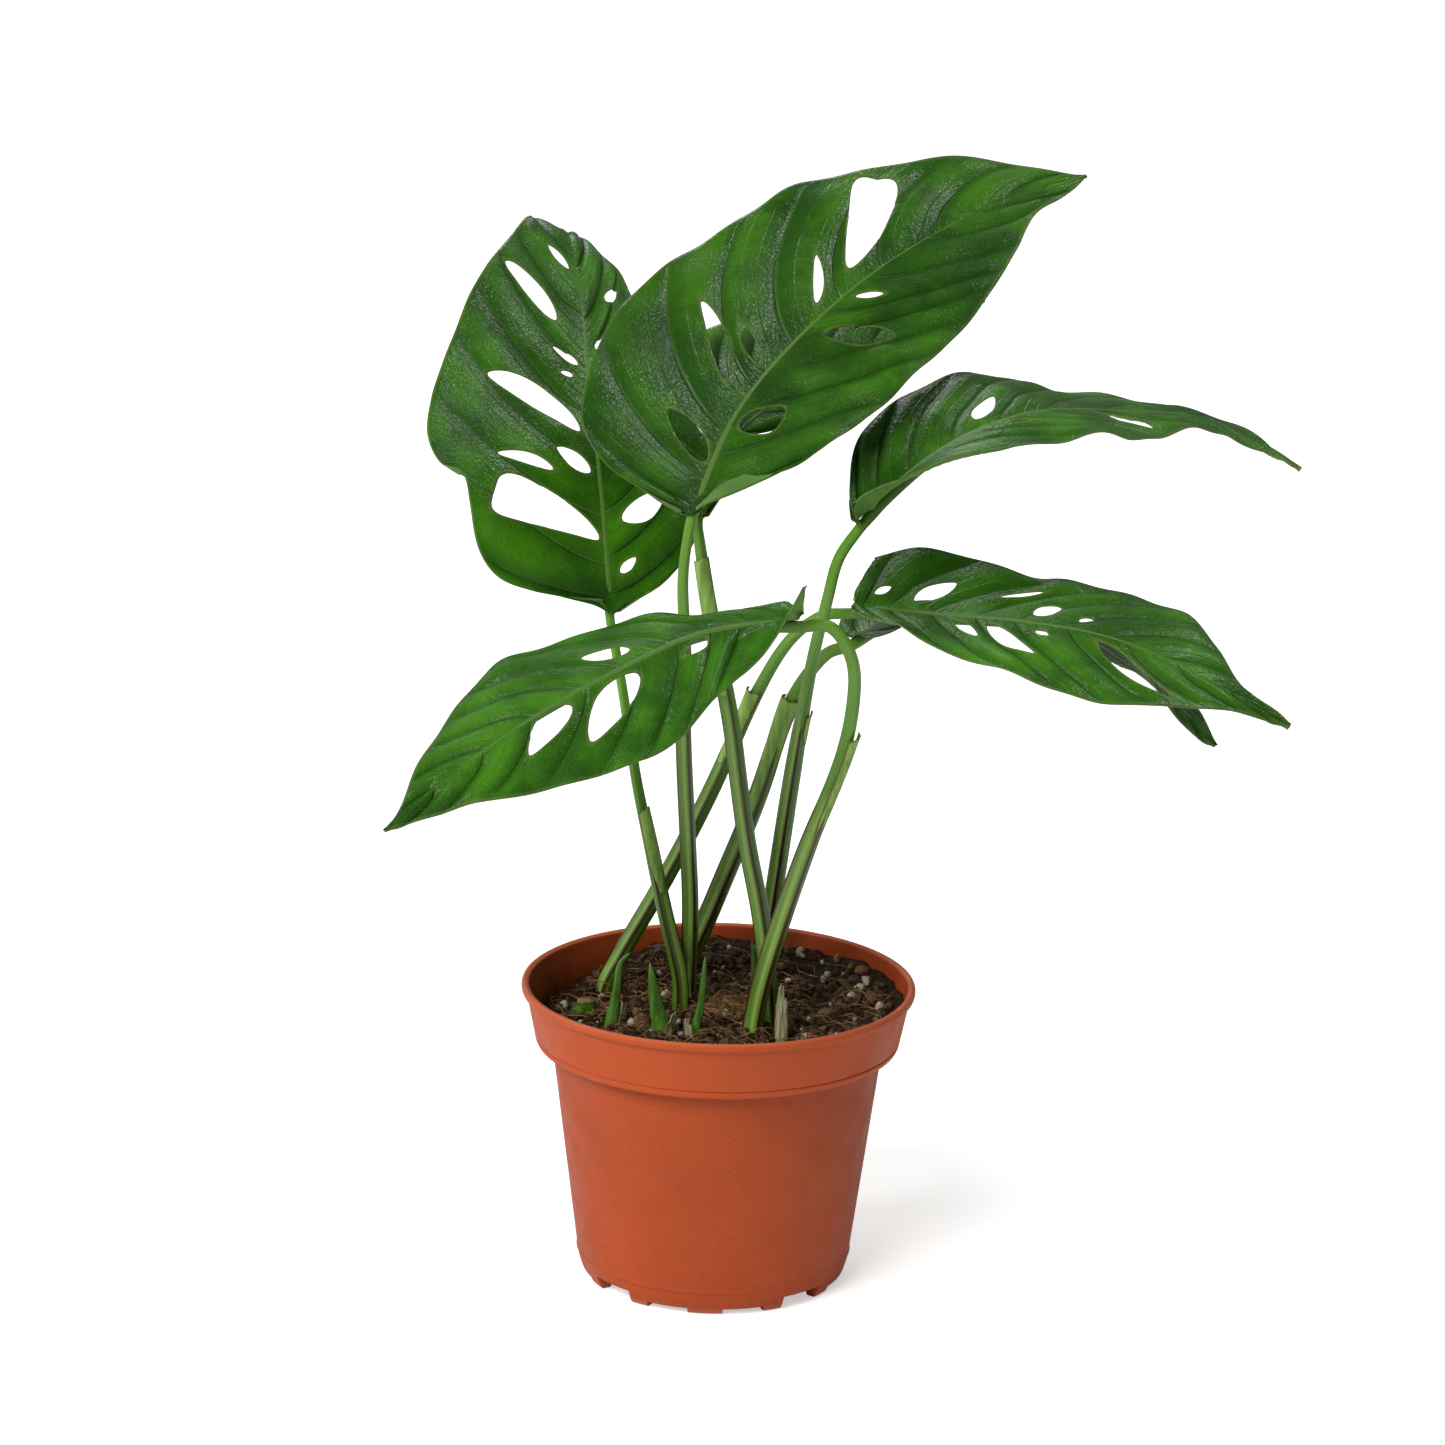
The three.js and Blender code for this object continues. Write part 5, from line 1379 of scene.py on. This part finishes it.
class MonsteraColours(bpy.types.PropertyGroup):
    """Colours of the finishes."""

    leaf_dark: colour("Leaf, dark", "Darker patches of the upper face", (0.01, 0.052, 0.0015))
    leaf_light: colour("Leaf, light", "Lighter patches of the upper face", (0.038, 0.15, 0.003))
    leaf_rim: colour("Leaf edge", "Thin edge of the blade and its holes", (0.1, 0.16, 0.03))
    leaf_under: colour("Leaf underside", "Lower face of the blades", (0.1, 0.22, 0.04))
    vein: colour("Veins", "Midrib and side veins", (0.13, 0.27, 0.045))
    stalk: colour("Stalk", "Green of the stalks", (0.11, 0.27, 0.018))
    stalk_dark: colour("Stalk, dark", "Dark streaks of the stalks", (0.04, 0.11, 0.006))
    channel: colour("Stalk groove", "Inside of the sheath's groove", (0.3, 0.46, 0.1))
    wing: colour("Sheath edge", "Brown edges of the sheath", (0.05, 0.01, 0.005))
    shoot: colour("Shoots", "Young shoots", (0.07, 0.18, 0.02))
    dry_sheath: colour("Dry sheath", "Papery old sheaths", (0.36, 0.36, 0.2))
    soil: colour("Soil", "Moist peat", (0.03, 0.016, 0.008))
    pot: colour("Pot", "Terracotta orange plastic", (0.425, 0.069, 0.0155))
    floor: colour("Floor", "Floor round the plant", (0.93, 0.93, 0.93))


class Step:
    """What every operator here shares: it can be undone, and it reads the scene's sizes and colours."""

    bl_options = {"REGISTER", "UNDO"}

    @property
    def sizes(self):
        return bpy.context.scene.monstera_sizes

    @property
    def colours(self):
        return bpy.context.scene.monstera_colours


class MONSTERA_OT_pot(Step, bpy.types.Operator):
    """Turns the pot with its rim band, feet and drain gaps"""

    bl_idname = "monstera.pot"
    bl_label = "Pot"

    def execute(self, context):
        pot = add_piece("nursery_pot", *pot_surface(), [pot_finish(self.colours)])
        settle(pot, "pot_plastic", "pot")
        return {"FINISHED"}


class MONSTERA_OT_soil(Step, bpy.types.Operator):
    """Fills the pot with lumpy soil"""

    bl_idname = "monstera.soil"
    bl_label = "Soil"

    def execute(self, context):
        settle(add_piece("soil_mass", *soil_surface(), [soil_finish(self.colours)]), "soil", "potting_soil")
        return {"FINISHED"}


class MONSTERA_OT_soil_bits(Step, bpy.types.Operator):
    """Strews crumbs, fibres, perlite and bark over the soil"""

    bl_idname = "monstera.soil_bits"
    bl_label = "Loose bits on the soil"

    def strew(self, name, bits, finish):
        settle(add_piece(name, *bits, [finish]), "soil")

    def execute(self, context):
        random = np.random.default_rng(SOIL_SEED)
        sizes, colours = self.sizes, self.colours
        crumb = plain_finish("soil_crumb", tint(colours.soil, 0.7), (0.17, 0.1, 0.055), 500, (0.65, 0.95),
            1800, 0.0006, Specular_IOR_Level=0.25)
        places = soil_places(random, sizes.crumb_count)
        self.strew("soil_crumbs", lumps(random, places, 0.35, 2.4, (1, 0.8, 0.65), 0.1), crumb)
        fibre = plain_finish("coir_fibre", (0.13, 0.06, 0.022), (0.42, 0.23, 0.1), 260, (0.6, 0.85), 1500,
            0.0002, Specular_IOR_Level=0.3)
        for name, share, middle, spread, length, thickness in COIR:
            places = soil_places(random, int(share * sizes.fibre_count), spread)
            places[:, :2] += middle
            places = places[np.hypot(places[:, 0], places[:, 1]) < SOIL_RADIUS - FIBRE_MARGIN]
            places[:, 2] = soil_height(places[:, 0], places[:, 1]) + FIBRE_LIFT
            self.strew(name, fibres(random, places, length, thickness), fibre)
        white = plain_finish("perlite_grain", (0.5, 0.45, 0.34), (0.85, 0.8, 0.68), 700, (0.7, 0.95), 2200,
            0.0005, 0.5, Specular_IOR_Level=0.3)
        places = soil_places(random, sizes.perlite_count)
        large = len(LARGE_PERLITE)
        places[:large] = LARGE_PERLITE
        places[:, 2] = soil_height(places[:, 0], places[:, 1])
        self.strew("perlite_grains", lumps(random, places, 0.45, 1.9, (1, 0.9, 0.8), 0.45), white)
        self.strew("perlite_large", lumps(random, places[:large], 1.5, 2.6, (1.4, 0.9, 0.6), 0.1), white)
        bark = plain_finish("bark_chip", (0.1, 0.05, 0.022), (0.34, 0.19, 0.09), 220, (0.6, 0.85), 900,
            0.0008, 0.4, Specular_IOR_Level=0.3)
        places = soil_places(random, sizes.bark_count)
        places[: len(SET_BARK), :2] = SET_BARK
        places[:, 2] = soil_height(places[:, 0], places[:, 1])
        self.strew("bark_chips", lumps(random, places, 1.2, 3.6, (1.4, 0.8, 0.35), 0.25), bark)
        return {"FINISHED"}


class MONSTERA_OT_leaves(Step, bpy.types.Operator):
    """Bends the seven holed leaf blades along their midribs"""

    bl_idname = "monstera.leaves"
    bl_label = "Leaf blades"

    def execute(self, context):
        edge = leaf_edge_finish(self.colours)
        for seed, (name, design) in enumerate(LEAVES.items()):
            points, faces, maps, attributes = blade_surface(BladeShape(design), self.sizes, seed)
            tone = LEAF_TONE[name]
            finishes = [
                leaf_top_finish(f"leaf_top_{name}", self.colours, tone),
                leaf_under_finish(f"leaf_under_{name}", self.colours, tone),
                edge,
            ]
            blade = add_piece(f"blade_{name}", points, [faces], finishes, maps, attributes, closed=False)
            thicken(blade, self.sizes.leaf_thickness, under=1, rim=2)
            settle(blade, "leaf", f"leaf_{name}")
        return {"FINISHED"}


class MONSTERA_OT_stalks(Step, bpy.types.Operator):
    """Carries the grooved stalks from the soil up and on along the midribs, with their sheath tips"""

    bl_idname = "monstera.stalks"
    bl_label = "Leaf stalks"

    def execute(self, context):
        skin = stalk_finish(self.colours)
        torn = edge_streak_finish("sheath_skin", (0.25, 0.42, 0.085), (0.1, 0.05, 0.02), 700)
        for name, design in LEAVES.items():
            shape = BladeShape(design)
            points, faces, maps, attributes = stalk_surface(name, shape)
            stalk = add_piece(f"petiole_{name}", points, faces, [skin], maps, attributes)
            settle(stalk, "stalk", f"stalk_{name}")
            points, faces, attributes = sheath_tip_surface(name, shape)
            tip = add_piece(f"sheath_tip_{name}", points, faces, [torn], None, attributes, closed=False)
            thicken(tip, TIP_THICKNESS, 0)
            settle(tip, "stalk")
        return {"FINISHED"}


class MONSTERA_OT_shoots(Step, bpy.types.Operator):
    """Grows the young shoots, the dry papery sheaths and the old cut stub"""

    bl_idname = "monstera.shoots"
    bl_label = "Shoots and dry sheaths"

    def execute(self, context):
        skin = shoot_finish(self.colours)
        for name in ("shoot_left", "shoot_pointed", "shoot_thin", "shoot_rear"):
            points, faces, attributes = shoot_surface(name)
            settle(add_piece(f"green_{name}", points, faces, [skin], None, attributes), "shoot", name)
        points, faces, attributes = shoot_surface("old_stub", pointed=False)
        stub = add_piece("cut_stub", points, faces, [stub_finish(self.colours)], None, attributes)
        settle(stub, "shoot", "old_stub")
        paper = edge_streak_finish("dry_paper", self.colours.dry_sheath, (0.2, 0.12, 0.05), 600)
        for name, (foot, turn, size) in PAPERY.items():
            centre = foot_point(foot, 0)
            points, faces, attributes = papery_sheath_surface(centre, np.radians(turn), size, len(name))
            piece = add_piece(name, points, faces, [paper], None, attributes, closed=False)
            thicken(piece, PAPER_THICKNESS, 0)
            replaced = ["dry_sheath"] if name == "papery_sheath_front" else []
            settle(piece, "dry_sheath", *replaced)
        return {"FINISHED"}


class MONSTERA_OT_stage(Step, bpy.types.Operator):
    """Lays the floor and sets the soft lights and the camera"""

    bl_idname = "monstera.stage"
    bl_label = "Floor, lights and camera"

    def execute(self, context):
        scene = context.scene
        self.lay_floor()
        self.light_backdrop(scene)
        for name, place, aim, size, power in LIGHTS:
            lamp = self.new_object(scene, name, bpy.data.lights.new(name, "AREA"))
            lamp.data.shape = "DISK"
            lamp.data.size = size
            lamp.data.energy = power
            turn = (Vector(aim) - Vector(place)).to_track_quat("-Z", "Y")
            lamp.matrix_world = Matrix.Translation(place) @ turn.to_matrix().to_4x4()
        sky = self.new_object(scene, "soft_sky", bpy.data.lights.new("soft_sky", "SUN"))
        sky.data.energy = SUN_STRENGTH
        sky.data.angle = np.radians(SUN_SPREAD)
        sky.rotation_euler = np.radians(SUN_TURN)
        sky.visible_glossy = False
        camera = self.new_object(scene, "view", bpy.data.cameras.new("view"))
        camera.data.sensor_width = CAMERA_SENSOR
        camera.data.lens = CAMERA_LENS
        camera.data.clip_end = CAMERA_FAR
        tilt = Matrix.Rotation(np.radians(90 - CAMERA_DOWN), 4, "X")
        roll = Matrix.Rotation(np.radians(CAMERA_ROLL), 4, "Z")
        camera.matrix_world = Matrix.Translation(CAMERA_PLACE) @ (tilt @ roll)
        scene.camera = camera
        scene.view_settings.view_transform = "Standard"
        return {"FINISHED"}

    def new_object(self, scene, name, data):
        made = bpy.data.objects.new(name, data)
        scene.collection.objects.link(made)
        return made

    def lay_floor(self):
        """A wide pale square just under the pot, which glows a little, but only as the camera sees it."""
        corners = np.array([[-1, -1, 0], [1, -1, 0], [1, 1, 0], [-1, 1, 0]]) * FLOOR_REACH
        corners = corners - [0, 0, FLOOR_DROP]
        finish = Finish("pale_floor", Specular_IOR_Level=0.1, Emission_Color=(1, 1, 1, 1))
        seen = put(finish.tree, "ShaderNodeLightPath").outputs["Is Camera Ray"]
        finish.tree.links.new(finish.times(seen, FLOOR_GLOW), finish.shader.inputs["Emission Strength"])
        finish.colour(finish.mottle(3.0, tint(self.colours.floor, 0.98), tint(self.colours.floor, 1.03)))
        finish.roughness(0.8, 0.95, 6)
        add_piece("floor", corners, [np.array([[0, 1, 2, 3]])], [finish.material], closed=False)

    def light_backdrop(self, scene):
        """A white surround, dim as light and full white where the camera sees it."""
        world = bpy.data.worlds.new("studio")
        world.use_nodes = True
        tree = world.node_tree
        seen = put(tree, "ShaderNodeLightPath").outputs["Is Camera Ray"]
        strength = put(tree, "ShaderNodeMapRange", [seen, 0.0, 1.0, WORLD_STRENGTH, 1.0]).outputs[0]
        background = tree.nodes["Background"]
        background.inputs[0].default_value = (1, 1, 1, 1)
        tree.links.new(strength, background.inputs[1])
        scene.world = world


STEPS = (
    MONSTERA_OT_stage, MONSTERA_OT_pot, MONSTERA_OT_soil, MONSTERA_OT_soil_bits, MONSTERA_OT_stalks,
    MONSTERA_OT_leaves, MONSTERA_OT_shoots,
)


class MONSTERA_PT_panel(bpy.types.Panel):
    """Lists the sizes, the colours and the steps"""

    bl_label = "Potted monstera"
    bl_space_type = "VIEW_3D"
    bl_region_type = "UI"
    bl_category = "Monstera"

    def draw(self, context):
        for group in (context.scene.monstera_sizes, context.scene.monstera_colours):
            box = self.layout.box()
            for label in group.__annotations__:
                box.prop(group, label)
        for step in STEPS:
            self.layout.operator(step.bl_idname)


CLASSES = (MonsteraSizes, MonsteraColours, *STEPS, MONSTERA_PT_panel)


def register():
    for made in CLASSES:
        bpy.utils.register_class(made)
    bpy.types.Scene.monstera_sizes = PointerProperty(type=MonsteraSizes)
    bpy.types.Scene.monstera_colours = PointerProperty(type=MonsteraColours)


def unregister():
    del bpy.types.Scene.monstera_sizes
    del bpy.types.Scene.monstera_colours
    for made in reversed(CLASSES):
        bpy.utils.unregister_class(made)


def main():
    register()
    bpy.ops.monstera.stage()
    bpy.ops.monstera.pot()
    bpy.ops.monstera.soil()
    bpy.ops.monstera.soil_bits()
    bpy.ops.monstera.stalks()
    bpy.ops.monstera.leaves()
    bpy.ops.monstera.shoots()


if __name__ == "__main__":
    main()
